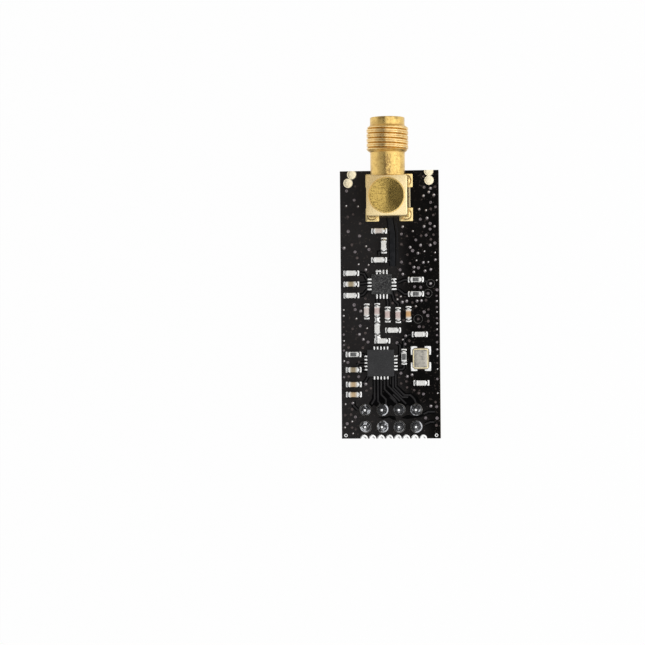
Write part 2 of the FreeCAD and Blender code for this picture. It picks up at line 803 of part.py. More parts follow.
def make_jack_solder(jack_block, tail):
    """Solder round the legs and the tail: a fill in each hole, a cone below, an edge above."""
    joints = []
    places = [(x, y, leg_hole_radius, jack_pad_size / 2 - solder_step, leg_size * math.sqrt(0.5))
              for x, y in leg_places()]
    places.append((0, jack_y, tail_hole_radius, 0, tail_radius))
    for x, y, hole_radius, top_foot, core_radius in places:
        low = board_bottom - copper
        foot = hole_radius + jack_ring_width - solder_step
        cone = solder_cone(foot, core_radius + solder_step, -jack_joint_height)
        pieces = [set_on(cone, x, y, low), peg(hole_radius, seat - low, x, y, low)]
        if top_foot:
            edge = solder_cone(top_foot, core_radius, jack_meniscus_height)
            pieces.append(set_on(edge, x, y, seat))
        joints.append(fused(pieces).cut([jack_block, tail]))
    return Part.makeCompound(joints)


def export(name, shape):
    shape.exportStep(f"parts/{name}.step")


def main():
    os.makedirs("parts", exist_ok=True)
    export("circuit_board", make_board())
    export("component_pads", make_component_pads())
    export("header_pads", make_header_pads())
    export("edge_pads", make_edge_pads())
    export("jack_pads", make_jack_pads())

    export("header_housing", make_housing())
    for number, (x, y) in enumerate(header_places(), 1):
        export(f"header_pin_{number}", make_pin(x, y))
    export("header_solder", make_header_solder())

    transceiver_leads = make_chip_leads(transceiver_size, transceiver_side_lead_count,
                                        transceiver_x, transceiver_y)
    export("transceiver_leads", transceiver_leads)
    export("transceiver_body", make_chip_body(transceiver_size, transceiver_x, transceiver_y,
                                              transceiver_leads))
    front_end_leads = make_chip_leads(front_end_size, front_end_side_lead_count,
                                      front_end_x, front_end_y)
    export("front_end_leads", front_end_leads)
    export("front_end_body", make_chip_body(front_end_size, front_end_x, front_end_y,
                                            front_end_leads))

    export("crystal_base", make_crystal_base())
    export("crystal_seal", make_crystal_seal())
    export("crystal_lid", make_crystal_lid())

    for name, height, x, y, lies_along in chip_parts():
        export(name, set_on(rotated(make_chip_part(height), lies_along), x, y, seat))
    export("component_solder", make_component_solder())

    tail = make_tail()
    jack_block = make_jack_block()
    export("jack_block", jack_block)
    export("jack_barrel", make_jack_barrel())
    export("jack_cap", make_jack_cap())
    export("jack_insulator", make_jack_insulator())
    export("jack_contact", make_jack_contact(tail))
    export("jack_tail", tail)
    export("jack_tail_insulator", make_tail_insulator())
    export("jack_solder", make_jack_solder(jack_block, tail))


main()
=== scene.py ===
import math

import bpy
from mathutils import Matrix, Vector, noise


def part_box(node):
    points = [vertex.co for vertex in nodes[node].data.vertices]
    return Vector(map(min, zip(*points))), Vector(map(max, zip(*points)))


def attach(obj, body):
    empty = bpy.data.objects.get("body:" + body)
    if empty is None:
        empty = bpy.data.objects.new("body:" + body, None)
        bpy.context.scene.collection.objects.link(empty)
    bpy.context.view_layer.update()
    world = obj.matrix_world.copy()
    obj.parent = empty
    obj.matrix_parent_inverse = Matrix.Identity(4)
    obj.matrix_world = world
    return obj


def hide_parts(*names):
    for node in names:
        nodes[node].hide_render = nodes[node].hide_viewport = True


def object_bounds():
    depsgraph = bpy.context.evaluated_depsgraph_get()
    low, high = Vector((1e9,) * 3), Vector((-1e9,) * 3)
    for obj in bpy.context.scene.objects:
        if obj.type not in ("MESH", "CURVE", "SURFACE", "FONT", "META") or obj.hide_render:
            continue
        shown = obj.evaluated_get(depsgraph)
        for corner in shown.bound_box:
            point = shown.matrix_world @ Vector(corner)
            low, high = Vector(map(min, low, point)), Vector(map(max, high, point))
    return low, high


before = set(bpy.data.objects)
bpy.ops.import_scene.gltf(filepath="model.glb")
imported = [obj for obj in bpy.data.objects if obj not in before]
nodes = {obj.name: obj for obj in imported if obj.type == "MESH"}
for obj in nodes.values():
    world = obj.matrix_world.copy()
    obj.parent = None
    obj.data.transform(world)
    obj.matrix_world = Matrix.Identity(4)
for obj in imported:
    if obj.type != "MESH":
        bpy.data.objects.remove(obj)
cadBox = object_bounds()
mm = 0.001
fullTurn = 2 * math.pi
sideCorners = ((-1, -1), (-1, 1), (1, -1), (1, 1))
ringCorners = ((1, 1), (-1, 1), (-1, -1), (1, -1))  # anticlockwise


def cadEdges(name):
    # lowest and highest corner of a CAD node, in millimetres
    low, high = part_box(name)
    return low / mm, high / mm


def cadMiddle(name):
    low, high = cadEdges(name)
    return (low + high) / 2


def cadSize(name):
    low, high = cadEdges(name)
    return high - low


boardLow, boardHigh = cadEdges("circuit_board")
maskTop = boardHigh.z
padTop = cadEdges("component_pads")[1].z
pinNames = [f"header_pin_{number}" for number in range(1, 9)]


# node trees
class Wire:
    # a socket in a finish's node tree, with operators that add the nodes for the maths
    def __init__(self, finish, socket):
        self.finish, self.socket = finish, socket

    def maths(self, operation, *values):
        # vectors and colours go through Vector Math
        wide = self.socket.type in ("VECTOR", "RGBA")
        kind = "ShaderNodeVectorMath" if wide else "ShaderNodeMath"
        return self.finish.node(kind, {"operation": operation}, dict(enumerate(values)))

    def __add__(self, other):
        return self.maths("ADD", self, other)

    def __radd__(self, other):
        return self.maths("ADD", other, self)

    def __sub__(self, other):
        return self.maths("SUBTRACT", self, other)

    def __rsub__(self, other):
        return self.maths("SUBTRACT", other, self)

    def __mul__(self, other):
        return self.maths("MULTIPLY", self, other)

    def __rmul__(self, other):
        return self.maths("MULTIPLY", other, self)

    def __pow__(self, other):
        return self.maths("POWER", self, other)

    def __abs__(self):
        return self.maths("ABSOLUTE", self)

    def ease(self, low, high):
        # 0 below low, 1 above high, smooth between
        return self.finish.node("ShaderNodeMapRange", {"interpolation_type": "SMOOTHSTEP"},
                                {"Value": self, "From Min": low, "From Max": high})

    def part(self, axis):
        return self.finish.node("ShaderNodeSeparateXYZ", {}, {"Vector": self}, axis)


class Finish:
    # the nodes of one material, or of the world, while it is made
    def __init__(self, name, kind="materials"):
        self.owner = getattr(bpy.data, kind).new(name)
        self.owner.use_nodes = True
        self.tree = self.owner.node_tree
        self.tree.nodes.clear()

    def node(self, kind, settings, values, output=0):
        made = self.tree.nodes.new(kind)
        for name, value in settings.items():
            if name == "stops":
                self.setStops(made.color_ramp, value)
            else:
                setattr(made, name, value)
        for name, value in values.items():
            socket = made.inputs[name]
            if isinstance(value, Wire):
                self.tree.links.new(value.socket, socket)
            elif socket.type == "RGBA":
                socket.default_value = (*value, 1)
            else:
                socket.default_value = value
        return Wire(self, made.outputs[output]) if made.outputs else None

    def setStops(self, ramp, stops):
        while len(ramp.elements) < len(stops):
            ramp.elements.new(0.5)
        for element, (place, colour) in zip(ramp.elements, stops):
            element.position, element.color = place, (*colour, 1)

    def place(self, stretch=(1, 1, 1)):
        # where the surface is, in millimetres, with each direction stretched
        spot = self.node("ShaderNodeTexCoord", {}, {}, "Object")
        return spot * tuple(share / mm for share in stretch)

    def speckle(self, spot, size, detail=3, roughness=0.55, twist=0):
        return self.node("ShaderNodeTexNoise", {}, {"Vector": spot, "Scale": 1 / size, "Detail": detail,
                                                   "Roughness": roughness, "Distortion": twist})

    def cells(self, spot, size):
        return self.node("ShaderNodeTexVoronoi", {}, {"Vector": spot, "Scale": 1 / size})

    def blend(self, share, low, high):
        # sockets 6 and 7 are the Mix node's two colours, and output 2 its colour
        return self.node("ShaderNodeMix", {"data_type": "RGBA"}, {0: share, 6: low, 7: high}, 2)

    def relief(self, height, depth):
        # depth is in millimetres
        return self.node("ShaderNodeBump", {}, {"Height": height, "Distance": depth * mm, "Strength": 1.0})

    def done(self, colour, roughness, normal, metal=0.0, shine=0.5):
        surface = self.node("ShaderNodeBsdfPrincipled", {}, {
            "Base Color": colour, "Metallic": metal, "Roughness": roughness, "Specular IOR Level": shine,
            "Normal": normal})
        self.node("ShaderNodeOutputMaterial", {}, {"Surface": surface})
        return self.owner


# finishes of one recipe, each a table of its materials and the recipe below it
plainFinishes = {  # light, dark, patch size in millimetres, roughness, specular level
    "bareMask": ((0.0026, 0.0025, 0.0027), (0.0010, 0.0010, 0.0011), 0.9, 0.46, 0.02),
    "dimLink": ((0.125, 0.098, 0.094), (0.040, 0.031, 0.030), 0.34, 0.5, 0.15),
    "paleLink": ((0.27, 0.235, 0.245), (0.11, 0.092, 0.098), 0.3, 0.42, 0.3),
    "silkInk": ((0.12, 0.115, 0.108), (0.06, 0.058, 0.053), 0.18, 0.55, 0.5),
    "feedTrack": ((0.019, 0.0195, 0.022), (0.0095, 0.010, 0.012), 0.8, 0.4, 0.08),
    # painted shade for the hollows of the jack's leg solder
    "fluxStain": ((0.030, 0.026, 0.020), (0.010, 0.009, 0.007), 0.2, 0.36, 0.25),
    "resistorGlaze": ((0.20, 0.20, 0.197), (0.010, 0.010, 0.011), 0.19, 0.36, 0.3),
    "crystalTray": ((0.20, 0.16, 0.12), (0.13, 0.10, 0.08), 0.3, 0.5, 0.5),
    "whiteInsulator": ((0.84, 0.84, 0.80), (0.74, 0.74, 0.70), 0.5, 0.38, 0.5),
}


def plainFinish(name, light, dark, size, roughness, shine):
    finish = Finish(name)
    spot = finish.place()
    cloud = finish.speckle(spot, size, 4)
    grain = finish.speckle(spot, size * 0.16, 2, 0.65)
    return finish.done(finish.blend(cloud.ease(0.3, 0.72), light, dark), roughness + grain * 0.16 - 0.08,
                       finish.relief(grain, 0.01), shine=shine)


tinFinishes = {  # light, dark, lowest and highest roughness, depth of the relief, metallic
    "brightLink": ((0.86, 0.85, 0.83), (0.66, 0.63, 0.60), 0.24, 0.4, 0.010, 1.0),
    "padTin": ((0.93, 0.93, 0.91), (0.74, 0.74, 0.72), 0.16, 0.30, 0.010, 1.0),
    # darker solder for the painted shade on the joints
    "filletSolder": ((0.27, 0.26, 0.245), (0.12, 0.115, 0.105), 0.14, 0.30, 0.010, 1.0),
    "jointSolder": ((0.66, 0.67, 0.69), (0.30, 0.31, 0.33), 0.12, 0.28, 0.015, 0.9),
}


def tinFinish(name, light, dark, roughLow, roughHigh, depth, metal):
    finish = Finish(name)
    spot = finish.place()
    cloud = finish.speckle(spot, 0.45, 4, 0.6)
    grain = finish.speckle(spot, 0.07, 3, 0.7)
    crystals = finish.cells(spot, 0.11)
    return finish.done(finish.blend(cloud.ease(0.42, 0.75), light, dark),
                       roughLow + (roughHigh - roughLow) * (cloud * 0.7 + grain * 0.5),
                       finish.relief(cloud * 0.6 + grain * 0.3 + crystals * 0.15, depth), metal=metal)


goldFinishes = {  # light, dark, roughness, blotch size, depth of the relief
    "padGold": ((0.92, 0.72, 0.34), (0.78, 0.55, 0.22), 0.24, 0.35, 0.008),
    "discGold": ((0.96, 0.86, 0.62), (0.88, 0.72, 0.44), 0.26, 0.3, 0.006),
    "contactGold": ((0.92, 0.72, 0.36), (0.76, 0.55, 0.24), 0.20, 0.35, 0.006),
    "sealGold": ((0.93, 0.82, 0.52), (0.74, 0.60, 0.30), 0.24, 0.2, 0.006),
}


def goldFinish(name, light, dark, roughness, blotch, depth):
    finish = Finish(name)
    spot = finish.place()
    cloud = finish.speckle(spot, 1.5, 4, 0.6)
    mottle = finish.speckle(spot, blotch, 3, 0.65, 0.4)
    grain = finish.speckle(spot, 0.05, 2, 0.7)
    share = mottle.ease(0.46, 0.74) * 0.75 + cloud.ease(0.5, 0.75) * 0.25
    return finish.done(finish.blend(share, light, dark), roughness + mottle * 0.14 - 0.05,
                       finish.relief(mottle * 0.7 + grain * 0.3, depth), metal=1.0)


mouldedFinishes = {  # dark, light, roughness, grain size
    "headerPlastic": ((0.014, 0.014, 0.015), (0.028, 0.028, 0.029), 0.42, 0.12),
    "chipMoulding": ((0.026, 0.026, 0.027), (0.062, 0.062, 0.064), 0.52, 0.09),
    "frontChipMoulding": ((0.010, 0.010, 0.011), (0.17, 0.17, 0.163), 0.5, 0.22),
}


def mouldedFinish(name, dark, light, roughness, size):
    finish = Finish(name)
    spot = finish.place()
    grain = finish.speckle(spot, size, 3, 0.7)
    flow = finish.speckle(spot, 1.1, 4, 0.6, 0.6)
    sparks = finish.cells(spot, size * 1.6).ease(0.16, 0.05)
    share = grain.ease(0.45, 0.72) * 0.75 + flow.ease(0.4, 0.7) * 0.2
    return finish.done(finish.blend(share + sparks * 0.25, dark, light), roughness + grain * 0.2 - 0.1,
                       finish.relief(grain + flow * 0.5, 0.009), shine=0.25)


ceramicFinishes = {  # light, dark, painted shade along the sides, fading towards the ends
    "whiteCeramic": ((0.92, 0.91, 0.875), (0.72, 0.71, 0.665)),
    "pinkCeramic": ((0.72, 0.58, 0.54), (0.52, 0.38, 0.36), 0.6, 0.5),
    "greyPinkCeramic": ((0.78, 0.70, 0.65), (0.58, 0.50, 0.46), 0.5, 0.5),
    "tanCeramic": ((0.45, 0.36, 0.21), (0.27, 0.21, 0.12), 0.6, 0.9),
    "amberCeramic": ((0.64, 0.47, 0.27), (0.43, 0.29, 0.155), 0.6, 0.9),
    "orangeCeramic": ((0.78, 0.45, 0.19), (0.50, 0.27, 0.10), 0.6, 0.7),
    "oliveCeramic": ((0.38, 0.30, 0.18), (0.22, 0.165, 0.09), 0.6, 0.9),
    "resistorChalk": ((0.84, 0.84, 0.81), (0.66, 0.66, 0.63)),
}


def ceramicFinish(name, light, dark, sideShade=0.0, fade=0.0):
    finish = Finish(name)
    spot = finish.place()
    cloud = finish.speckle(spot, 0.5, 4, 0.6)
    grain = finish.speckle(spot, 0.06, 3, 0.7)
    pits = finish.cells(spot, 0.10).ease(0.14, 0.04)
    colour = finish.blend(cloud.ease(0.35, 0.75), light, dark)
    colour = finish.blend(grain.ease(0.55, 0.8) * 0.35, colour, dark)
    if sideShade:
        # painted shade: the body darker along both sides
        side = abs(spot.part("Y")).ease(0.25, 0.36) * sideShade
        colour = finish.blend(side, colour, tuple(part * 0.35 for part in dark))
    if fade:
        tip = (abs(spot.part("X")) + cloud * 0.12).ease(0.22, 0.70) * fade
        colour = finish.blend(tip, colour, (0.84, 0.81, 0.74))
    return finish.done(colour, 0.36 + grain * 0.22,
                       finish.relief(grain * 0.6 + cloud * 0.4 - pits * 0.5, 0.008))


finishes = {}


def makeFinishes():
    for make, table in ((plainFinish, plainFinishes), (tinFinish, tinFinishes), (goldFinish, goldFinishes),
                        (mouldedFinish, mouldedFinishes), (ceramicFinish, ceramicFinishes)):
        for name, values in table.items():
            finishes[name] = make(name, *values)
    for make in (maskFinish, trackFinish, blockFinish, capFinish, pinFinish, lidFinish, barrelFinish):
        material = make()
        finishes[material.name] = material
    print("finishes ready")


# shapes
class Shape:
    # points in millimetres, faces, and the finish number of each face
    def __init__(self):
        self.points, self.faces, self.marks = [], [], []

    def grid(self, rows, round=False, mark=0, pick=None):
        # quads between rows of points; round joins each row's last point to its first,
        # and pick names the quads that take the next finish
        start, wide = len(self.points), len(rows[0])
        for row in rows:
            self.points.extend(tuple(point) for point in row)
        for down in range(len(rows) - 1):
            for across in range(wide if round else wide - 1):
                nextAcross = (across + 1) % wide
                low, high = start + down * wide, start + (down + 1) * wide
                self.faces.append((low + across, low + nextAcross, high + nextAcross, high + across))
                self.marks.append(mark + 1 if pick and pick[down][across] else mark)

    def lid(self, ring, mark=0):
        start = len(self.points)
        self.points.extend(tuple(point) for point in ring)
        self.faces.append(tuple(range(start, start + len(ring))))
        self.marks.append(mark)

    def lathe(self, profile, turn, segments, span=fullTurn, closed=False, mark=0):
        # profile is (radius, height) pairs; turn is the matrix that carries the Z axis to its place;
        # closed puts a lid on its last ring
        whole = span == fullTurn
        angles = [span * step / segments for step in range(segments if whole else segments + 1)]
        rows = [[turn @ Vector((radius * math.cos(angle), radius * math.sin(angle), height))
                 for angle in angles] for radius, height in profile]
        self.grid(rows, whole, mark)
        if closed:
            self.lid(rows[-1], mark)


def addPiece(name, shape, layers, standsFor=(), sharp=38, middle=(0, 0, 0), turn=0):
    # layers names the finishes that the faces' numbers stand for, and sharp is in degrees
    mesh = bpy.data.meshes.new(name)
    mesh.from_pydata([tuple(c * mm for c in point) for point in shape.points], [], shape.faces)
    for layer in layers:
        mesh.materials.append(finishes[layer])
    mesh.polygons.foreach_set("material_index", shape.marks)
    mesh.validate()
    mesh.shade_smooth()
    mesh.set_sharp_from_angle(angle=math.radians(sharp))
    piece = bpy.data.objects.new(name, mesh)
    bpy.context.scene.collection.objects.link(piece)
    piece.location = [c * mm for c in middle]
    piece.rotation_euler.z = turn
    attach(piece, "root")
    if standsFor:
        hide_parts(*standsFor)


def anglesRound(steps):
    return [fullTurn * step / steps for step in range(steps)]


def roundedRing(width, height, corner, steps):
    # points round a rounded rectangle, anticlockwise from the right
    ring = []
    for turn, (sideX, sideY) in enumerate(ringCorners):
        for step in range(steps + 1):
            angle = math.pi / 2 * (turn + step / steps)
            ring.append((sideX * (width / 2 - corner) + corner * math.cos(angle),
                         sideY * (height / 2 - corner) + corner * math.sin(angle)))
    return ring


def notchedRing(width, height, notch, steps):
    # the same with a round notch in each corner
    ring = []
    for turn, (sideX, sideY) in enumerate(ringCorners):
        for step in range(steps + 1):
            angle = math.pi * 1.5 + turn * math.pi / 2 - math.pi / 2 * step / steps
            ring.append((sideX * width / 2 + notch * math.cos(angle),
                         sideY * height / 2 + notch * math.sin(angle)))
    return ring


def upAt(x, y, z=0.0):
    return Matrix.Translation((x, y, z))


def downAt(x, y, z):
    return Matrix.Translation((x, y, z)) @ Matrix.Rotation(math.pi, 4, "X")


# the board: its mask, and the tracks, links and print on it
boardMask = {
    "ink": ((0.0013, 0.0012, 0.0013), (0.0215, 0.0205, 0.0208)),  # bare laminate, and copper below the mask
    "copperTo": (3.4, 0.0),  # across the board, where the copper below the mask ends
    "headerCopper": ((0.0, 3.4), (6.4, 4.8), (3.2, 0.8)),  # more beside the header: left, right, far
    "skin": (0.07, 0.04),  # how deep the mask's dark edge goes
}


def maskFinish():
    finish = Finish("boardMask")
    spot = finish.place()
    x, y, z = map(spot.part, "XYZ")
    top = abs(finish.node("ShaderNodeNewGeometry", {}, {}, "Normal").part("Z")).ease(0.4, 0.6)
    cloud = finish.speckle(spot, 3.4, 4)
    weave = finish.speckle(finish.place((1, 0.12, 1)), 0.22, 2)
    weave = weave + finish.speckle(finish.place((0.12, 1, 1)), 0.22, 2)
    dust = finish.speckle(spot, 0.09, 2, 0.7).ease(0.60, 0.80)
    grain = finish.speckle(spot, 0.17, 3, 0.75).ease(0.40, 0.72)
    left, right, far = boardMask["headerCopper"]
    copper = x.ease(*boardMask["copperTo"]) * (0.70 + cloud * 0.4) + cloud.ease(0.45, 0.7) * 0.10
    copper = copper + x.ease(*left) * x.ease(*right) * y.ease(*far) * (0.2 + cloud * 0.5)
    ink = finish.blend(copper, *boardMask["ink"])
    ink = finish.blend(grain * (0.14 + copper * 0.18), ink, (0.030, 0.022, 0.016))
    specks = finish.speckle(spot, 0.33, 2, 0.6).ease(0.62, 0.70)
    ink = finish.blend(dust * 0.22 + specks * 0.4, ink, (0.11, 0.088, 0.078))
    layers = finish.speckle(finish.place((0.02, 0.02, 1)), 0.13, 1, 0.4).ease(0.35, 0.65)
    strands = finish.speckle(finish.place((1, 1, 2.5)), 0.20, 3, 0.7).ease(0.35, 0.7)
    core = finish.blend(layers * 0.45 + strands * 0.5, (0.065, 0.047, 0.026), (0.165, 0.128, 0.070))
    deep, shallow = boardMask["skin"]
    skin = (z.ease(boardLow.z + deep, boardLow.z + shallow)
            + z.ease(boardHigh.z - deep, boardHigh.z - shallow))
    core = finish.blend(skin, core, (0.012, 0.012, 0.013))
    return finish.done(finish.blend(top, core, ink), 0.62 - top * (0.20 + cloud * 0.12),
                       finish.relief(weave * 0.5 + dust, 0.004), shine=0.04)


def trackFinish():
    finish = Finish("maskOverCopper")
    spot = finish.place()
    cloud = finish.speckle(spot, 1.2, 4)
    grain = finish.speckle(spot, 0.08, 2)
    return finish.done(finish.blend(cloud, (0.018, 0.017, 0.0175), (0.036, 0.034, 0.035)),
                       0.34 + grain * 0.16, finish.relief(grain, 0.003), shine=0.08)


# millimetres; sizes are width and height
relief = {
    "strip": [(-1.15, 0), (-0.9, 0.75), (-0.7, 1), (0.7, 1), (0.9, 0.75), (1.15, 0)],  # shares of both
    "trackSize": (0.22, 0.035),
    "trackGapSize": (0.54, 0.008),
    "feedSize": (0.8, 0.02),
    "feedGapSize": (0.96, 0.008),
    "feedEdgeSize": (0.12, 0.02),
    "baredSize": (0.10, 0.03),
    "clearedHeight": 0.006,
    "ringProfile": [(0.03, 0.0), (0.02, 0.012), (-0.02, 0.012), (-0.03, 0.0)],
    "ringSteps": 40,
    "cleared": [
        [(-2.85, 3.6), (-2.85, 3.0), (-3.5, 1.9), (-3.0, 1.6), (-2.54, 2.0), (-2.05, 1.6), (-0.5, 1.6),
         (0.0, 2.0), (0.5, 1.6), (2.05, 1.6), (2.54, 2.0), (3.0, 1.6), (3.5, 1.9), (4.5, 2.0), (4.2, 3.0),
         (3.1, 3.75), (2.3, 3.75), (1.1, 4.9), (0.3, 4.9), (-0.2, 5.2), (-0.7, 4.5), (-1.2, 3.7),
         (-2.0, 3.4)],
        [(-1.9, 0.12), (-1.2, -0.10), (-0.3, 0.10), (0.3, -0.25), (0.75, -0.30), (0.7, 0.25),
         (-0.1, 0.42), (-0.8, 0.22)],
        [(1.5, 0.02), (2.5, -0.15), (3.4, 0.0), (4.4, 0.12), (5.3, 0.45), (5.2, 0.8), (4.3, 0.42),
         (3.2, 0.3), (2.6, 0.55), (2.0, 0.3)],
    ],
    "feed": [(0.43, 22.8), (0.43, 27.6), (0.2, 29.0), (0.0, 30.6)],
    "feedEdge": [(1.2, 23.6), (1.2, 28.0), (0.98, 29.4)],
    "tracks": [
        [(-2.43, 5.9), (-2.43, 2.9), (-2.9, 2.1)],
        [(-1.93, 5.9), (-1.93, 2.6), (-1.6, 2.1)],
        [(-1.43, 5.9), (-1.43, 3.55), (-0.75, 2.85), (-0.75, 1.9)],
        [(-0.93, 5.9), (-0.93, 4.35), (0.55, 2.85), (0.9, 2.2)],
        [(-0.43, 5.9), (-0.43, 4.9), (1.75, 2.7), (2.3, 2.15)],
        [(0.75, 6.6), (0.75, 4.75), (2.05, 3.45), (2.95, 3.45), (3.5, 2.9), (3.8, 2.2)],
        [(0.35, 6.2), (0.35, 4.55), (1.75, 3.15), (2.6, 3.15)],
        [(0.35, 3.55), (1.35, 2.55)],
        [(-0.1, 3.2), (0.75, 2.35)],
        [(1.1, 7.3), (1.75, 7.3), (2.05, 7.6), (2.05, 8.0)],
        [(1.1, 9.25), (1.45, 9.6), (1.45, 10.9), (1.0, 11.3)],
        [(2.05, 10.5), (2.05, 11.9), (2.8, 12.5), (3.3, 12.5)],
        [(-4.0, 8.3), (-4.75, 8.3), (-5.0, 8.0)],
        [(-4.35, 9.6), (-3.6, 9.3)],
        [(-4.35, 7.3), (-3.9, 7.3), (-3.6, 7.8)],
        [(-4.35, 5.1), (-3.9, 5.4), (-3.4, 6.2)],
        [(-1.93, 17.2), (-1.93, 17.9)],
        [(-0.36, 16.7), (-0.36, 17.4), (-0.43, 17.9)],
        [(1.21, 16.6), (1.21, 17.1), (0.6, 17.7), (0.2, 19.2)],
        [(1.2, 19.35), (2.2, 18.6), (2.75, 18.6)],
        [(1.2, 20.35), (2.2, 20.74), (2.75, 20.74)],
        [(5.0, 18.6), (5.5, 18.7)],
        [(5.0, 20.74), (5.7, 20.3)],
        [(-3.4, 19.3), (-4.0, 18.6), (-4.5, 18.45)],
        [(-3.4, 20.3), (-4.5, 20.2)],
        [(-3.4, 20.8), (-3.9, 21.7), (-4.5, 21.8)],
        [(-1.6, 24.4), (-1.6, 24.9), (-0.85, 25.0)],
        [(-0.4, 23.7), (0.1, 23.7)],
        [(-0.4, 28.1), (0.1, 28.3)],
        [(4.9, 0.6), (5.6, 0.95), (6.6, 0.95)],
        [(5.1, -0.9), (5.9, -0.6), (6.5, -0.6)],
        [(-5.0, 1.3), (-5.6, 1.9), (-5.6, 2.6)],
    ],
    "rings": [(5.72, 18.68, 0.6), (6.1, 20.15, 0.6), (4.2, 14.85, 0.65)],
    "baredLine": [(3.10, 31.6), (3.10, 34.6)],
}

linkStyle = {
    "radius": 0.21,
    "edgeRadius": 0.155,
    "edgeX": 7.0,
    "spread": 0.3,  # how much the links differ in size
    "dome": [(1.0, 0.0), (0.93, 0.02), (0.78, 0.034), (0.55, 0.036), (0.38, 0.026),
             (0.24, 0.012)],  # share of the radius, height
    "tip": (0.004, 0.006),
    "paleMore": {"rightEdge": 0.12, "jackEndRight": 0.12},  # more of the links in these groups are pale
    "paleElse": -0.05,
    "spark": [(0.105, 0.012), (0.095, 0.034), (0.06, 0.042), (0.004, 0.044)],
    "sparkAt": (0.04, 0.05),  # painted glint: a bright tin dot beside the middle of some links
    "sparkFrom": 0.16,
    "belowFrom": (5.2, 3.4),  # under the board the housing hides the links nearer than this
    "segments": (20, 14),
}

links = {
    "leftEdge": [(-linkStyle["edgeX"], y) for y in (
        16.25, 15.4, 14.55, 13.75, 12.6, 11.6, 11.0, 10.2, 8.6, 6.2)],
    "rightEdge": [(linkStyle["edgeX"], y) for y in (
        18.3, 17.5, 16.6, 15.85, 14.95, 14.15, 13.25, 12.4, 11.35, 10.25, 9.25, 8.25, 7.3, 5.85, 3.7)],
    "middle": [(-6.3, 10.65), (-4.15, 10.6), (-6.4, 8.4), (-4.75, 8.45), (-6.3, 6.3), (-4.8, 6.25),
               (-3.75, 5.15), (-3.65, 4.15), (-3.0, 4.5), (1.55, 6.75), (2.5, 6.25), (3.2, 6.5),
               (2.35, 5.5), (1.55, 5.2), (2.45, 4.6), (3.5, 4.2), (4.2, 3.75), (4.9, 3.6), (1.0, 11.3),
               (2.2, 11.1), (-5.4, 17.05), (-5.25, 16.35), (-4.4, 16.1), (-5.1, 14.95), (-4.5, 13.9),
               (-3.5, 13.5), (-5.65, 13.45), (-4.65, 12.6), (-4.05, 11.85), (-3.35, 11.45),
               (-3.75, 12.8), (-3.7, 18.0), (1.6, 18.2), (1.0, 18.5), (1.85, 17.4), (0.4, 17.25),
               (1.1, 17.8), (2.5, 17.55), (3.35, 17.35), (4.05, 17.55), (4.7, 17.6), (5.4, 17.65),
               (3.85, 16.75), (5.1, 15.9), (5.75, 16.25), (5.65, 15.35), (5.7, 14.5), (4.35, 13.7),
               (4.95, 13.65), (2.35, 12.3), (1.85, 11.75), (2.85, 11.6), (2.0, 14.7), (4.2, 14.85)],
    "headerEnd": [(-5.7, 2.3), (-6.85, 2.1), (-5.85, 1.35), (-6.0, 0.55), (-6.9, 0.5), (-5.35, 0.2),
                  (-5.85, -0.5), (-6.6, -0.8), (-5.85, -1.4), (-5.3, -1.65), (-6.95, -1.4), (-5.75, -2.3),
                  (6.7, 2.4), (6.0, 1.8), (6.85, 1.7), (5.2, 0.0), (6.9, 0.0), (6.8, -1.1)],
    "jackEndLeft": [(-5.67, 26.1), (-3.55, 25.8), (-3.1, 25.35), (-6.85, 25.6), (-4.9, 24.1),
                    (-3.2, 23.0), (-3.6, 22.3), (-5.25, 32.8), (-6.5, 31.9), (-4.7, 31.8),
                    (-5.45, 30.65), (-6.25, 30.25), (-4.4, 29.25), (-6.2, 28.1), (-4.5, 27.4),
                    (-5.1, 34.85), (-6.4, 34.2), (-4.7, 23.1), (-5.2, 25.0)],
    "jackEndRight": [(1.55, 22.25), (1.75, 23.4), (1.95, 21.6), (1.75, 26.1), (2.65, 24.5), (3.1, 25.6),
                     (3.45, 25.1), (4.65, 25.9), (4.25, 24.7), (5.2, 24.95), (6.1, 25.9), (6.8, 26.2),
                     (6.8, 24.75), (6.85, 23.7), (4.0, 23.6), (5.05, 23.3), (5.75, 23.35), (3.05, 23.2),
                     (3.65, 22.6), (4.3, 22.5), (3.6, 21.9), (5.3, 22.05), (6.15, 22.25), (7.0, 20.6),
                     (3.7, 19.7), (4.6, 19.6), (7.05, 19.2), (6.1, 20.15), (5.72, 18.68), (2.0, 28.7),
                     (3.5, 28.0), (2.6, 27.3), (1.8, 27.6), (5.15, 33.3), (6.7, 33.4), (6.2, 32.3),
                     (6.95, 31.6), (4.5, 31.3), (5.5, 31.1), (6.2, 31.3), (6.6, 30.4), (4.65, 29.8),
                     (5.65, 29.95), (6.1, 29.15), (5.2, 28.7), (6.75, 28.7), (6.1, 28.3), (6.6, 27.45),
                     (4.75, 27.3), (5.5, 27.4), (6.2, 26.75), (3.95, 26.7), (5.25, 34.6), (6.2, 34.4),
                     (6.9, 34.65), (5.95, 33.85), (5.15, 36.2)],
}


def addTrack(shape, path, size, mark=0):
    # a raised strip with sloping sides, mitred at its corners
    width, height = size
    points = [Vector(point) for point in path]
    rows = []
    for number, point in enumerate(points):
        before = (point - points[number - 1]).normalized() if number else None
        after = (points[number + 1] - point).normalized() if number + 1 < len(points) else None
        ahead = ((before or after) + (after or before)).normalized()
        side = Vector((-ahead.y, ahead.x))
        stretch = 1 / max(0.5, ahead.dot(after or before))
        row = []
        for share, level in relief["strip"]:
            spot = point + side * (width / 2 * share * stretch)
            row.append((spot.x, spot.y, maskTop + height * level))
        rows.append(row)
    shape.grid(rows, mark=mark)


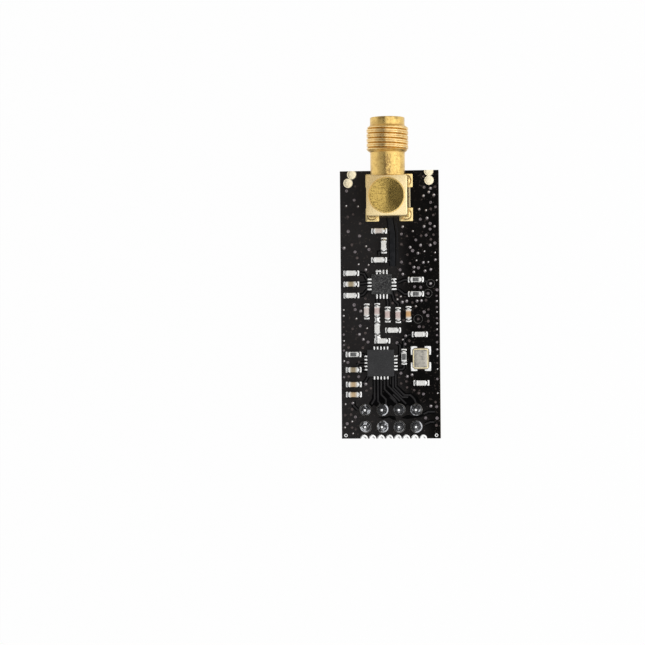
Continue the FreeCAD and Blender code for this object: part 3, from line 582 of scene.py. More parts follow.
def makeTracks():
    shape = Shape()
    for path in relief["tracks"]:
        addTrack(shape, path, relief["trackSize"])
        addTrack(shape, path, relief["trackGapSize"], 1)
    for outline in relief["cleared"]:
        shape.lid([(x, y, maskTop + relief["clearedHeight"]) for x, y in outline], 1)
    addTrack(shape, relief["feed"], relief["feedSize"], 2)
    addTrack(shape, relief["feed"], relief["feedGapSize"], 1)
    addTrack(shape, relief["feedEdge"], relief["feedEdgeSize"], 2)
    addPiece("boardTracks", shape, ("maskOverCopper", "bareMask", "feedTrack"))
    print("tracks ready")


def makeLinks():
    shape = Shape()
    segments, sparkSegments = linkStyle["segments"]
    sparkX, sparkY = linkStyle["sparkAt"]
    besideHousing, beyondHousing = linkStyle["belowFrom"]
    for name, group in links.items():
        pale = linkStyle["paleMore"].get(name, linkStyle["paleElse"])
        for x, y in group:
            luck = noise.noise((x * 1.7, y * 1.3, 0.4))
            atEdge = abs(x) == linkStyle["edgeX"]
            size = 1 + linkStyle["spread"] * luck
            size = size * (linkStyle["edgeRadius"] / linkStyle["radius"] if atEdge else 1)
            profile = [(linkStyle["radius"] * share * size, height) for share, height in linkStyle["dome"]]
            tipRadius, tipHeight = linkStyle["tip"]
            profile.append((tipRadius * size, tipHeight))
            mark = 1 if luck + pale > 0.0 else 0
            shape.lathe(profile, upAt(x, y, maskTop), segments, closed=True, mark=mark)
            if noise.noise((x * 2.9, y * 2.1, 7.3)) + pale > linkStyle["sparkFrom"]:
                shape.lathe(linkStyle["spark"], upAt(x + sparkX, y + sparkY, maskTop), sparkSegments,
                            closed=True, mark=2)
            if abs(x) > besideHousing or y > beyondHousing:
                shape.lathe(profile, downAt(x, y, boardLow.z), segments, closed=True, mark=mark)
    addPiece("platedLinks", shape, ("dimLink", "paleLink", "brightLink"), sharp=60)
    print("plated links ready")


def makePrint():
    shape = Shape()
    for x, y, radius in relief["rings"]:
        ring = [(radius + offset, height) for offset, height in relief["ringProfile"]]
        shape.lathe(ring, upAt(x, y, maskTop), relief["ringSteps"])
    addTrack(shape, relief["baredLine"], relief["baredSize"], 1)
    addPiece("printedLines", shape, ("silkInk", "discGold"))
    print("print ready")


# the header's solder joints; a profile here is shares of the radius, and heights
headerJoints = {
    "radius": 0.93,
    "profile": [(1.0, 0.0), (0.985, 0.03), (0.95, 0.05), (0.92, 0.08), (0.88, 0.14), (0.84, 0.19),
                (0.80, 0.25), (0.76, 0.31), (0.72, 0.38), (0.68, 0.45), (0.64, 0.53), (0.60, 0.62),
                (0.56, 0.73), (0.52, 0.86), (0.48, 0.98), (0.44, 1.08), (0.40, 1.18), (0.37, 1.27),
                (0.33, 1.33)],
    "sunk": 0.02,  # below the pad's top, so that no light shows between them
    "ripple": (0.13, 0.016, 0.4, 0.9),  # length and depth, and the reaches it lies between
    "shelf": (0.79, 0.10),  # where a flared side flattens out: its reach and height
    "flareSpread": 2.2,
    "flareFrom": 0.05,
    "flared": {(-1, 1): (0.8, 0.3), (-1, -1): (0.8, 0.1), (4, -1): (1.0, 0.35), (4, 1): (0.5, 2.6)},
    "lumps": {(-4, -1): (0.34, -0.10), (-1, -1): (0.20, 0.05), (-4, 1): (0.26, 0.22), (4, 1): (0.22, 0.26)},
    "lumpReach": (0.42, 0.9),
    "lumpFoot": 0.02,
    "wobble": (0.10, 0.5, 0.4),  # its size, and its shares in the radius and in the height
    "shadedReach": (0.66, 0.74, 0.86),  # painted shade: a darker ring between the first two, and darker outside the third
    "ringBelow": [(0.92, 0.0), (0.90, 0.03), (0.78, 0.04), (0.50, 0.04)],
    "segments": (72, 40),
}


def jointHeight(reach, height, angle, place, number):
    # the height of a joint at one spot, and how far it is flared out there
    flare, turn = headerJoints["flared"].get(place, (0.0, 0.0))
    shelfReach, shelfHeight = headerJoints["shelf"]
    side = flare * min(1.0, max(0.0, math.cos(angle + turn) * headerJoints["flareSpread"]))
    if reach > shelfReach and height > headerJoints["flareFrom"]:
        height += side * (shelfHeight - height)
    wave, depth, near, far = headerJoints["ripple"]
    if near < reach < far:
        height += depth * math.sin(fullTurn * reach / wave) * (1 - side)
    step, limit = headerJoints["lumps"].get(place, (0.0, 1.0))
    lump = noise.noise((number * 5.3, reach * math.cos(angle) * 2.4, reach * math.sin(angle) * 2.4))
    near, far = headerJoints["lumpReach"]
    if lump > limit and near < reach < far:
        height = round(height / step) * step + headerJoints["lumpFoot"]
    return height, side


def makeHeaderJoints():
    shape = Shape()
    segments, ringSegments = headerJoints["segments"]
    shadeFrom, shadeTo, shadeOutside = headerJoints["shadedReach"]
    wobbleSize, wobbleAcross, wobbleUp = headerJoints["wobble"]
    for number, name in enumerate(pinNames, 1):
        middle = cadMiddle(name)
        place = (round(middle.x), round(middle.y))
        rows, shaded = [], []
        for reach, height in headerJoints["profile"]:
            row, shadedRow = [], []
            for angle in anglesRound(segments):
                level, side = jointHeight(reach, height, angle, place, number)
                seat = (number * 3.1, reach * math.cos(angle) * 2.1, reach * math.sin(angle) * 2.1 + height)
                wobble = noise.noise(seat) * wobbleSize * math.sin(math.pi * min(1, reach))
                radius = headerJoints["radius"] * (reach + wobble * wobbleAcross)
                row.append((middle.x + radius * math.cos(angle), middle.y + radius * math.sin(angle),
                            padTop - headerJoints["sunk"] + level + wobble * wobbleUp * level))
                # painted shade: darker solder on these rings, left off a flared side
                shadedHere = reach > shadeOutside or shadeFrom < reach < shadeTo
                shadedRow.append(shadedHere and side < 0.25 + wobble * 4)
            rows.append(row)
            shaded.append(shadedRow)
        shape.grid(rows, True, pick=shaded)
        shape.lathe(headerJoints["ringBelow"], downAt(middle.x, middle.y, boardLow.z), ringSegments)
    addPiece("headerJoints", shape, ("jointSolder", "filletSolder"),
             ("header_solder", "header_pads"), sharp=50)
    print("header joints ready")


# plated half rounds on the header edge, and the two corner holes
edgeRounds = {
    "count": 8,
    "pitch": 1.27,
    "offset": 0.37,
    "profile": [(0.22, 0.0), (0.59, 0.0), (0.575, 0.032), (0.50, 0.052), (0.34, 0.056), (0.24, 0.04),
                (0.17, 0.0)],
    "cornerInset": (0.6, 0.48),
    "cornerProfile": [(0.18, 0.0), (0.27, 0.0), (0.26, 0.03), (0.22, 0.04), (0.17, 0.03), (0.13, 0.0)],
    "cornerFloor": [(0.17, -0.1), (0.12, -0.13), (0.02, -0.14)],
    "segments": (24, 32, 20),
}


def platedProfile(profile):
    # the same outline over both faces of the board, joined by the plated wall
    upper = [(radius, maskTop + height) for radius, height in profile[1:]]
    lower = [(radius, boardLow.z - height) for radius, height in reversed(profile[1:])]
    wall = profile[0][0]
    return [(wall, maskTop), *upper, *lower, (wall, boardLow.z), (wall, maskTop)]


def makeEdgeRounds():
    shape = Shape()
    edgeSegments, cornerSegments, floorSegments = edgeRounds["segments"]
    start = edgeRounds["offset"] - (edgeRounds["count"] - 1) * edgeRounds["pitch"] / 2
    outline = platedProfile(edgeRounds["profile"])
    for number in range(edgeRounds["count"]):
        x = start + number * edgeRounds["pitch"]
        shape.lathe(outline, upAt(x, boardLow.y), edgeSegments, span=math.pi)
        for side in (1, -1):
            shape.lid([(x + side * radius, boardLow.y, height) for radius, height in outline[:-1]])
    outline = platedProfile(edgeRounds["cornerProfile"])
    insetX, insetY = edgeRounds["cornerInset"]
    for x in (boardLow.x + insetX, boardHigh.x - insetX):
        shape.lathe(outline, upAt(x, boardLow.y + insetY), cornerSegments)
        shape.lathe(edgeRounds["cornerFloor"], upAt(x, boardLow.y + insetY, maskTop), floorSegments,
                    closed=True, mark=1)
    addPiece("edgeRounds", shape, ("padTin", "bareMask"), ("edge_pads",))
    print("edge rounds ready")


# small two-ended parts
smallParts = {
    "skin": 0.03,  # how far the metal ends stand out from the ceramic
    "corner": 0.09,
    "bodyInset": 0.14,
    "bodyRows": 9,
    "capReach": 0.32,  # the metal's reach from the tip, less at the middle, at least, and its wave
    "capCurve": 0.17,
    "capLeast": 0.05,
    "capWave": 0.03,
    "bulge": 0.12,
    "endProfile": [(0.0, 0.70), (0.008, 0.84), (0.03, 0.94), (0.07, 1.0)],  # inset, share of the outline
    "dipProfile": [(0.35, 0), (0.7, 0), (0.93, 0.1), (1.0, 0.55), (1.02, 1.15)],  # shares of reach and skin
    "coatSize": (0.56, 0.88, 0.06),  # width, length and corner
    "coatProfile": [(0.0, -0.01), (0.0, 0.012), (0.02, 0.024), (0.06, 0.028)],  # inset, height
    "body": {
        "supply_capacitor_1": "amber", "supply_capacitor_2": "amber", "supply_capacitor_3": "olive",
        "bias_resistor": "coat", "crystal_resistor": "coat", "crystal_capacitor_1": "white",
        "crystal_capacitor_2": "white", "match_inductor": "white", "balun_inductor_1": "white",
        "balun_inductor_2": "white", "row_capacitor_1": "greyPink", "row_capacitor_2": "pink",
        "row_capacitor_3": "pink", "row_capacitor_4": "pink", "row_capacitor_5": "orange",
        "amplifier_capacitor_1": "white", "amplifier_capacitor_2": "tan", "amplifier_capacitor_3": "white",
        "control_resistor_1": "coat", "control_resistor_2": "coat", "filter_capacitor_1": "white",
        "filter_inductor": "white", "filter_capacitor_2": "greyPink",
    },
    "slots": {"coat": "resistor_coat", "white": "white_ceramic", "pink": "pink_ceramic",
              "greyPink": "pink_ceramic"},
    "elseSlot": "tan_ceramic",
}


def endCurve(y, width):
    # how far the rounded end falls back at one place across it
    return smallParts["bulge"] * abs(2 * y / width) ** 2.2


def dippedEdges(y, z, width, height, seed, side):
    # from the tip of the part, where the metal leaves the rounded end and where it stops on the ceramic
    start = smallParts["endProfile"][-1][0] + endCurve(y, width)
    middle = 1 - min(abs(2 * y / width), abs(2 * z / height)) ** 2
    reach = smallParts["capReach"] - smallParts["capCurve"] * middle
    wave = smallParts["capWave"] * noise.noise((y * 4 + seed, z * 4, side * 2.0))
    return start, max(start + smallParts["capLeast"], reach + wave)


def smallPartShape(size, seed, coated):
    # a ceramic block, and a dipped metal end on each side whose edge curves back at the middle
    length, width, height = size
    skin, corner, last = smallParts["skin"], smallParts["corner"], smallParts["bodyRows"] - 1
    shape = Shape()
    ring = roundedRing(width - 2 * skin, height - 2 * skin, corner * 0.6, 3)
    half = length / 2 - smallParts["bodyInset"]
    shape.grid([[(half * (2 * step / last - 1), y, z) for y, z in ring] for step in range(last + 1)], True)
    if coated:
        coatWidth, coatLength, coatCorner = smallParts["coatSize"]
        rows = []
        for inset, level in smallParts["coatProfile"]:
            outline = roundedRing(coatLength - 2 * inset, coatWidth - 2 * inset, coatCorner, 3)
            rows.append([(x, y, height / 2 - skin + level) for x, y in outline])
        shape.grid(rows, True, 2)
        shape.lid(rows[-1], 2)
    outer = roundedRing(width, height, corner, 6)
    for side in (-1, 1):
        rows = []
        for inset, share in smallParts["endProfile"]:
            rows.append([(side * (length / 2 - inset - endCurve(y, width)), y * share, z * share)
                         for y, z in outer])
        shape.lid(rows[0], 1)
        for share, thin in smallParts["dipProfile"]:
            row = []
            for y, z in outer:
                start, reach = dippedEdges(y, z, width, height, seed, side)
                row.append((side * (length / 2 - start - (reach - start) * share),
                            y * (1 - 2 * skin * thin / width), z * (1 - 2 * skin * thin / height)))
            rows.append(row)
        shape.grid(rows, True, 1)
    return shape


def lyingPart(name):
    # a small part's middle, its size as if it lay along X, and the turn that it really has
    size = cadSize(name)
    if size.y > size.x:
        return cadMiddle(name), Vector((size.y, size.x, size.z)), math.pi / 2
    return cadMiddle(name), size, 0


def makeSmallParts():
    for number, (name, body) in enumerate(smallParts["body"].items()):
        middle, size, turn = lyingPart(name)
        coated = body == "coat"
        shape = smallPartShape(size, number * 1.7, coated)
        layers = ("resistorChalk", "padTin", "resistorGlaze") if coated else (f"{body}Ceramic", "padTin")
        addPiece(name.replace("_", "."), shape, layers,
                 (name,), 50, middle, turn)
    print("small parts ready")


# the solder on the pads of small parts, chips and crystal
surfaceJoints = {
    "pad": (-0.4, 0.4, 0.86),  # from, to and width, from the end of the part
    "padSteps": (20, 12),
    "height": 0.052,
    "rounding": 0.10,
    "edge": 3.2,  # how steeply the solder's edge rises
    "ripple": 0.12,
    "climb": 0.70,  # share of the part's height
    "climbFrom": -0.09,
    "fillet": (0.05, 0.17),
    "bulge": 0.19,
    # painted dark reflection: the fillet's slope between these shares of its fall is darker
    "shaded": (0.10, 0.90),
    "leadPitch": 0.5,
    "lead": (-0.4, 0.24),  # from the edge of the chip, and width
    "leadSteps": (12, 8),
    "chips": {"transceiver_body": (5, 0.5), "front_end_body": (4, 0.7)},  # leads on a side, and their reach
    "crystalPad": (1.0, 1.35, 0.28, 0.28),  # width, length, and how far it stands out past the tray
    "bridges": [((-2.0, 22.05), (-1.45, 22.05), 0.17), ((-1.45, 21.85), (-0.95, 22.0), 0.10),
                ((0.50, 20.85), (0.72, 20.45), 0.15), ((0.78, 9.28), (1.0, 9.35), 0.12),
                ((-1.93, 12.1), (-1.75, 11.95), 0.36), ((-1.93, 14.75), (-1.93, 14.9), 0.34)],
    "bridge": (0.10, 0.02, 24, (1.0, 0.93, 0.75, 0.5, 0.22, 0.01)),  # height, foot, steps, shares of radius
}


def addPad(shape, middle, turn, inner, outer, width, climb, steps, seed):
    # a pad from inner to outer along its own X, with solder that climbs towards the part's rounded end
    place = upAt(middle[0], middle[1], maskTop) @ Matrix.Rotation(turn, 4, "Z")
    style = surfaceJoints
    start, reach = style["fillet"]
    shadeFrom, shadeTo = style["shaded"]
    stepsX, stepsY = steps
    rows, shaded = [], []
    for stepX in range(stepsX + 1):
        s = -math.cos(math.pi * stepX / stepsX)
        row, steep = [], []
        for stepY in range(stepsY + 1):
            t = -math.cos(math.pi * stepY / stepsY)
            x = (inner + outer) / 2 + (outer - inner) / 2 * s * math.sqrt(1 - style["rounding"] * t * t)
            y = width / 2 * t * math.sqrt(1 - style["rounding"] * s * s)
            edge = min(1.0, style["edge"] * math.sqrt(max(0.0, min(1 - abs(s), 1 - abs(t)))))
            height, fall = style["height"], 0.0
            if climb:
                gap = x + style["bulge"] * abs(2 * y / width) ** 2.0
                fall = min(1.0, max(0.0, (gap - start) / reach))
                height += climb * (1 - fall * fall * (3 - 2 * fall)) if x > style["climbFrom"] else 0.0
            ripple = 1 + style["ripple"] * noise.noise((x * 3 + seed, y * 3, seed * 0.7))
            inside = 0 < stepX < stepsX
            row.append(place @ Vector((x, y, height * edge * ripple if inside else 0.0)))
            # painted dark reflection on the steep slope of the fillet
            steep.append(shadeFrom < fall < shadeTo)
        rows.append(row)
        shaded.append(steep)
    shape.grid(rows, pick=shaded)


def addBridge(shape, start, end, radius):
    # a low bridge of solder between two points
    height, foot, steps, shares = surfaceJoints["bridge"]
    a, b = Vector((*start, 0)), Vector((*end, 0))
    ahead = (b - a).normalized()
    side = Vector((-ahead.y, ahead.x, 0))
    rows = []
    for share in shares:
        row = []
        for angle in anglesRound(steps):
            base = b if math.cos(angle) > 0 else a
            along = ahead * (radius * share * math.cos(angle))
            spot = base + along + side * (radius * share * math.sin(angle))
            row.append((spot.x, spot.y, maskTop + foot + math.sqrt(1 - share * share) * height))
        rows.append(row)
    shape.grid(rows, True)
    shape.lid(rows[-1])


def makeSurfaceJoints():
    shape = Shape()
    style = surfaceJoints
    inner, outer, width = style["pad"]
    for number, name in enumerate(smallParts["body"]):
        middle, size, firstTurn = lyingPart(name)
        for side in (0, 1):
            turn, half = side * math.pi + firstTurn, size.x / 2
            base = middle + Vector((half * math.cos(turn), half * math.sin(turn), 0))
            addPad(shape, base, turn, inner, outer, width, size.z * style["climb"], style["padSteps"],
                   number + side * 0.5)
    inner, width = style["lead"]
    for name, (count, toe) in style["chips"].items():
        middle, half = cadMiddle(name), cadSize(name).x / 2
        for quarter in range(4):
            turn = quarter * math.pi / 2
            out = Vector((math.cos(turn), math.sin(turn), 0))
            for number in range(count):
                along = (number - (count - 1) / 2) * style["leadPitch"]
                base = middle + out * half + Vector((-out.y, out.x, 0)) * along
                addPad(shape, base, turn, inner, toe, width, 0, style["leadSteps"], quarter * 5 + number)
    middle, size = cadMiddle("crystal_base"), cadSize("crystal_base")
    wide, tall, overX, overY = style["crystalPad"]
    for sideX, sideY in sideCorners:
        x = middle.x + sideX * (size.x / 2 + overX - wide / 2)
        y = middle.y + sideY * (size.y / 2 + overY - tall / 2)
        addPad(shape, (x, y), 0, -wide / 2, wide / 2, tall, 0, style["padSteps"], x + y)
    for start, end, radius in style["bridges"]:
        addBridge(shape, start, end, radius)
    addPiece("surfaceJoints", shape, ("padTin", "filletSolder"),
             ("component_pads", "component_solder"), sharp=60)
    print("surface joints ready")


# the crystal; a profile is (inset, 0 for the node's foot or 1 for its top, height from there)
crystal = {
    "crystalTray": {
        "node": "crystal_base", "outline": notchedRing, "corner": 0.25, "finish": "crystalTray",
        "slot": "crystal_ceramic", "sharp": 40, "underside": True,
        "profile": [(0.0, 0, 0.0), (0.0, 1, -0.02), (0.02, 1, 0.0)],
    },
    "crystalRim": {
        "node": "crystal_seal", "outline": roundedRing, "corner": 0.22, "finish": "sealGold",
        "slot": "seal_plate", "sharp": 40, "underside": False,
        "profile": [(0.0, 0, 0.0), (0.0, 1, -0.02), (0.02, 1, 0.0), (0.1, 1, 0.0), (0.2, 1, -0.01)],
    },
    "crystalLid": {
        "node": "crystal_lid", "outline": roundedRing, "corner": 0.16, "finish": "crystalLid",
        "slot": "lid_metal", "sharp": 50, "underside": False,
        "profile": [(0.0, 0, 0.0), (0.0, 0, 0.055), (0.03, 0, 0.078), (0.12, 0, 0.082), (0.15, 0, 0.10),
                    (0.18, 1, -0.008), (0.22, 1, 0.0), (0.5, 1, 0.0)],
    },
}


def lidFinish():
    finish = Finish("crystalLid")
    spot = finish.place()
    brushed = finish.speckle(finish.place((1, 0.08, 1)), 0.09, 3, 0.6)
    cloud = finish.speckle(spot, 0.55, 4, 0.6)
    grain = finish.speckle(spot, 0.08, 3, 0.7)
    share = cloud.ease(0.46, 0.64) * 0.55 + grain.ease(0.45, 0.66) * 0.45
    return finish.done(finish.blend(share, (0.56, 0.53, 0.46), (0.20, 0.19, 0.18)), 0.34 + brushed * 0.16,
                       finish.relief(brushed + grain * 0.6, 0.006), metal=0.85)


def makeCrystal():
    middle = cadMiddle("crystal_base")
    for name, plate in crystal.items():
        ends, size = cadEdges(plate["node"]), cadSize(plate["node"])
        rows = []
        for inset, end, height in plate["profile"]:
            outline = plate["outline"](size.x - 2 * inset, size.y - 2 * inset, plate["corner"], 6)
            rows.append([(x, y, ends[end].z + height) for x, y in outline])
        shape = Shape()
        shape.grid(rows, True)
        shape.lid(rows[-1])
        if plate["underside"]:
            shape.lid(rows[0])
        addPiece(name, shape, (plate["finish"],), (plate["node"],), plate["sharp"],
                 (middle.x, middle.y, 0))
    print("crystal ready")


# the jack's pads, the gold discs beside it, and its solder
jackPads = {
    "legPitch": 5.08, "padSize": 2.0, "legSize": 0.92, "corner": 0.10,
    "padProfile": [(0.0, 0.0), (0.0, 0.028), (0.02, 0.04), (0.5, 0.04)],  # inset, height
    "padBelow": [(1.05, 0.0), (1.04, 0.03), (0.9, 0.04), (0.74, 0.04)],
    "tailRing": [(0.95, 0.0), (0.95, 0.03), (0.66, 0.03)],
    "tailRingBelow": [(0.95, 0.0), (0.94, 0.03), (0.87, 0.04), (0.66, 0.04)],
    "discs": [(-6.18, 35.34), (-5.62, 36.63), (6.01, 35.63), (5.97, 36.98)],
    "discRadius": 0.71,
    "discProfile": [(1.0, 0.0), (0.985, 0.03), (0.95, 0.038), (0.90, 0.030), (0.86, 0.022), (0.80, 0.034),
                    (0.74, 0.04), (0.3, 0.04), (0.01, 0.04)],
    "solderReach": 0.93,
    "solderProfile": [(1.0, 0.0), (0.92, 0.03), (0.84, 0.035), (0.77, 0.12), (0.68, 0.13), (0.60, 0.03),
                      (0.52, 0.03), (0.42, 0.15), (0.20, 0.21), (0.0, 0.24)],
    # painted shade: dark lines in the solder's hollows on these rows
    "hollowShadeLines": (0.84, 0.60),
    "legSolderBelow": [(1.02, 0.0), (0.99, 0.04), (0.90, 0.14), (0.80, 0.36), (0.72, 0.62), (0.67, 0.84),
                       (0.60, 0.90), (0.35, 0.90)],
    "tailSolderBelow": [(0.90, 0.0), (0.87, 0.04), (0.78, 0.16), (0.66, 0.42), (0.57, 0.72), (0.54, 0.88),
                        (0.49, 0.90)],
    "startBelow": 0.02,  # the solder below starts this far under the board
    "wobble": 0.25,
    "hollowShadeFrom": (0.6, 1.5),
    "ringSteps": 40, "tailSteps": 36, "discSteps": 48, "solderSteps": 48, "legSteps": 64,
}


def makeJackPads():
    jackY = cadMiddle("jack_block").y
    legs = [(sideX * jackPads["legPitch"] / 2, jackY + sideY * jackPads["legPitch"] / 2)
            for sideX, sideY in sideCorners]
    pads = Shape()
    for x, y in legs:
        rows = []
        for inset, height in jackPads["padProfile"]:
            size = jackPads["padSize"] - 2 * inset
            rows.append([(x + a, y + b, maskTop + height)
                         for a, b in roundedRing(size, size, jackPads["corner"], 4)])
        pads.grid(rows, True)
        pads.lid(rows[-1])
        pads.lathe(jackPads["padBelow"], downAt(x, y, boardLow.z), jackPads["ringSteps"])
    pads.lathe(jackPads["tailRingBelow"], downAt(0, jackY, boardLow.z), jackPads["tailSteps"])
    pads.lathe(jackPads["tailRing"], upAt(0, jackY, maskTop), jackPads["tailSteps"])
    for x, y in jackPads["discs"]:
        rows = []
        for share, height in jackPads["discProfile"]:
            radius = jackPads["discRadius"] * share
            rows.append([(x + radius * math.cos(angle), min(boardHigh.y, y + radius * math.sin(angle)),
                          maskTop + height) for angle in anglesRound(jackPads["discSteps"])])
        pads.grid(rows, True, 1)
        pads.lid(rows[-1], 1)
    addPiece("jackPads", pads, ("padGold", "discGold"), ("jack_pads",), sharp=35)

    joints = Shape()
    under = boardLow.z - jackPads["startBelow"]
    for x, y in legs:
        addLegSolder(joints, x, y, jackY)
        joints.lathe(jackPads["legSolderBelow"], downAt(x, y, under), jackPads["solderSteps"])
    joints.lathe(jackPads["tailSolderBelow"], downAt(0, jackY, under), jackPads["solderSteps"])
    addPiece("jackSolder", joints, ("jointSolder", "padGold", "fluxStain"), ("jack_solder",),
             sharp=60)
    print("jack pads ready")


def addLegSolder(shape, x, y, middleY):
    # solder that rises against a square leg and thins out over its pad, with painted shade in its hollows
    # on its outer side
    inner = jackPads["legSize"] / 2
    hollowShadeFrom, hollowShadeSpread = jackPads["hollowShadeFrom"]
    rows, shaded = [], []
    for share, height in jackPads["solderProfile"]:
        row, dark = [], []
        for angle in anglesRound(jackPads["legSteps"]):
            ahead = Vector((math.cos(angle), math.sin(angle)))
            square = inner / max(abs(ahead.x), abs(ahead.y))
            reach = square + (jackPads["solderReach"] - square) * share
            lift = 1 + jackPads["wobble"] * noise.noise((x + ahead.x, y + ahead.y, share))
            row.append((x + ahead.x * reach, y + ahead.y * reach, padTop - 0.005 + height * lift))
            outward = ahead.x * x + ahead.y * (y - middleY)
            limit = hollowShadeFrom + hollowShadeSpread * noise.noise((x, y + angle, share * 9))
            dark.append(share in jackPads["hollowShadeLines"] and outward > limit)
        rows.append(row)
        shaded.append(dark)
    shape.grid(rows, True, 1, shaded)


# the turned barrel; lengths run from the block's face to the mouth
barrel = {
    "collar": 2.57, "crest": 3.1, "root": 2.88, "nose": 2.57, "mouth": 2.3, "bore": 2.05, "neck": 1.5,
    "pitch": 0.706, "collarLength": 3.48, "threadLength": 4.05, "noseLength": 1.15, "mouthDepth": 1.9,
    "spigot": 2.15, "spigotLength": 0.8, "shoulder": 1.2, "threadFade": 0.42, "edge": 0.05,
    "rootShare": 0.03, "flankShare": 0.34, "dipShare": 0.13,  # shares of half a turn of the thread
    "crestDip": 0.40,  # share of the crest's height
    "collarRings": (1.2, 2.4), "noseRing": 0.5,
    "noseRound": [(0.0, 0.1), (0.03, 0.03), (0.1, 0.0)],  # how far inwards, and behind the mouth's face
    "mouthRound": [(0.1, 0.0), (0.02, 0.04), (0.0, 0.12)],  # how far outwards, and behind that face
    "segments": 128, "threadRows": 150,
}
blockFace = cadEdges("jack_block")[1].y


def barrelFinish():
    finish = Finish("barrelGold")
    spot = finish.place()
    x, y, z = map(spot.part, "XYZ")
    height = z - cadMiddle("jack_barrel").z
    radius = (x * x + height * height) ** 0.5
    threadStart = blockFace + barrel["collarLength"]
    threadEnd = threadStart + barrel["threadLength"]
    # painted shade: darker in the thread's grooves
    grooveShade = radius.ease(3.04, 2.90) * y.ease(threadStart - 0.36, threadStart + 0.04)
    grooveShade = grooveShade * y.ease(threadEnd + 0.29, threadEnd - 0.11)
    # painted shade: darker inside the mouth
    inside = radius.ease(2.35, 2.25)
    mottle = finish.speckle(spot, 0.32, 3, 0.65, 0.4)
    streak = finish.speckle(finish.place((0.5, 9, 0.5)), 0.5, 3, 0.6)
    grain = finish.speckle(spot, 0.05, 2, 0.7)
    worn = mottle.ease(0.48, 0.66) * 0.65 + streak.ease(0.5, 0.8) * 0.3
    tarnish = finish.speckle(spot, 1.4, 3).ease(0.48, 0.68) * 0.4
    onCollar = height.ease(0.0, 1.0) * y.ease(threadStart - 0.06, threadStart - 0.56)
    rub = abs(x - 0.15).ease(0.62, 0.30) * onCollar
    scuff = finish.speckle(finish.place((1, 0.55, 1)), 0.26, 3, 0.7).ease(0.42, 0.56) * rub
    colour = finish.blend(worn * (1 - grooveShade * 0.5), (0.84, 0.575, 0.19), (0.55, 0.345, 0.095))
    # painted highlight: the thread's crests paler
    colour = finish.blend(radius.ease(2.95, 3.08) * 0.55, colour, (0.97, 0.74, 0.40))
    colour = finish.blend(scuff * 0.8, colour, (0.24, 0.14, 0.05))
    colour = finish.blend(tarnish, colour, (0.42, 0.25, 0.08))
    colour = finish.blend(grooveShade * 0.16, colour, (0.34, 0.17, 0.05))
    colour = finish.blend(inside * 0.35, colour, (0.40, 0.27, 0.10))
    return finish.done(colour, 0.20 + mottle * 0.12 + grooveShade * 0.12,
                       finish.relief(streak * 0.4 + mottle * 0.7 + grain * 0.2, 0.015), metal=1.0)


def threadRadius(distance, angle):
    # crests and roots of the screw thread, faded out at both ends of the threaded land
    turnPart = (distance / barrel["pitch"] - angle / fullTurn) % 1
    wave = abs(turnPart * 2 - 1)
    crest = min(1.0, max(0.0, (wave - barrel["rootShare"]) / barrel["flankShare"]))
    crest -= barrel["crestDip"] * max(0.0, 1 - (1 - wave) / barrel["dipShare"])
    start = distance - barrel["collarLength"]
    end = barrel["collarLength"] + barrel["threadLength"] - distance
    fade = min(1.0, max(0.0, min(start, end) / barrel["threadFade"]))
    tall = barrel["root"] + (barrel["crest"] - barrel["root"]) * crest
    return barrel["collar"] + (tall - barrel["collar"]) * fade


def makeBarrel():
    axisZ = cadMiddle("jack_barrel").z
    collar, nose, mouth, bore, neck = (barrel[name] for name in ("collar", "nose", "mouth", "bore", "neck"))
    spigot, spigotEnd, shoulder = barrel["spigot"], -barrel["spigotLength"], barrel["shoulder"]
    edge = barrel["edge"]
    threadEnd = barrel["collarLength"] + barrel["threadLength"]
    length = threadEnd + barrel["noseLength"]
    mouthFloor = length - barrel["mouthDepth"]
    front = [(neck, spigotEnd), (spigot - edge, spigotEnd), (spigot, spigotEnd + edge), (spigot, 0.0),
             (collar - edge, 0.0), (collar, edge)]
    front += [(collar, distance) for distance in barrel["collarRings"]]
    thread = [barrel["collarLength"] + barrel["threadLength"] * step / barrel["threadRows"]
              for step in range(barrel["threadRows"] + 1)]
    back = [(nose, threadEnd + edge), (nose, threadEnd + barrel["noseRing"])]
    back += [(nose - inwards, length - behind) for inwards, behind in barrel["noseRound"]]
    back += [(mouth + outwards, length - behind) for outwards, behind in barrel["mouthRound"]]
    back += [(mouth, mouthFloor), (bore, mouthFloor), (bore, shoulder), (neck, shoulder), (neck, spigotEnd)]
    angles = anglesRound(barrel["segments"])
    rows = [[(radius, distance, angle) for angle in angles] for radius, distance in front]
    rows += [[(threadRadius(distance, angle), distance, angle) for angle in angles] for distance in thread]
    rows += [[(radius, distance, angle) for angle in angles] for radius, distance in back]
    shape = Shape()
    shape.grid([[(radius * math.cos(angle), blockFace + distance, axisZ + radius * math.sin(angle))
                 for radius, distance, angle in row] for row in rows], True)
    addPiece("threadedBarrel", shape, ("barrelGold",), ("jack_barrel",), sharp=32)
    print("barrel ready")


# the CAD pieces that keep their meshes, and the finishes that only they have
keptPieces = {
    "boardMask": ["circuit_board"],
    "blockGold": ["jack_block"],
    "capGold": ["jack_cap"],
    "contactGold": ["jack_contact", "jack_tail"],
    "whiteInsulator": ["jack_insulator", "jack_tail_insulator"],
    "headerPlastic": ["header_housing"],
    "pinGold": pinNames,
    "chipMoulding": ["transceiver_body"],
    "frontChipMoulding": ["front_end_body"],
    "padTin": ["transceiver_leads", "front_end_leads"],
}


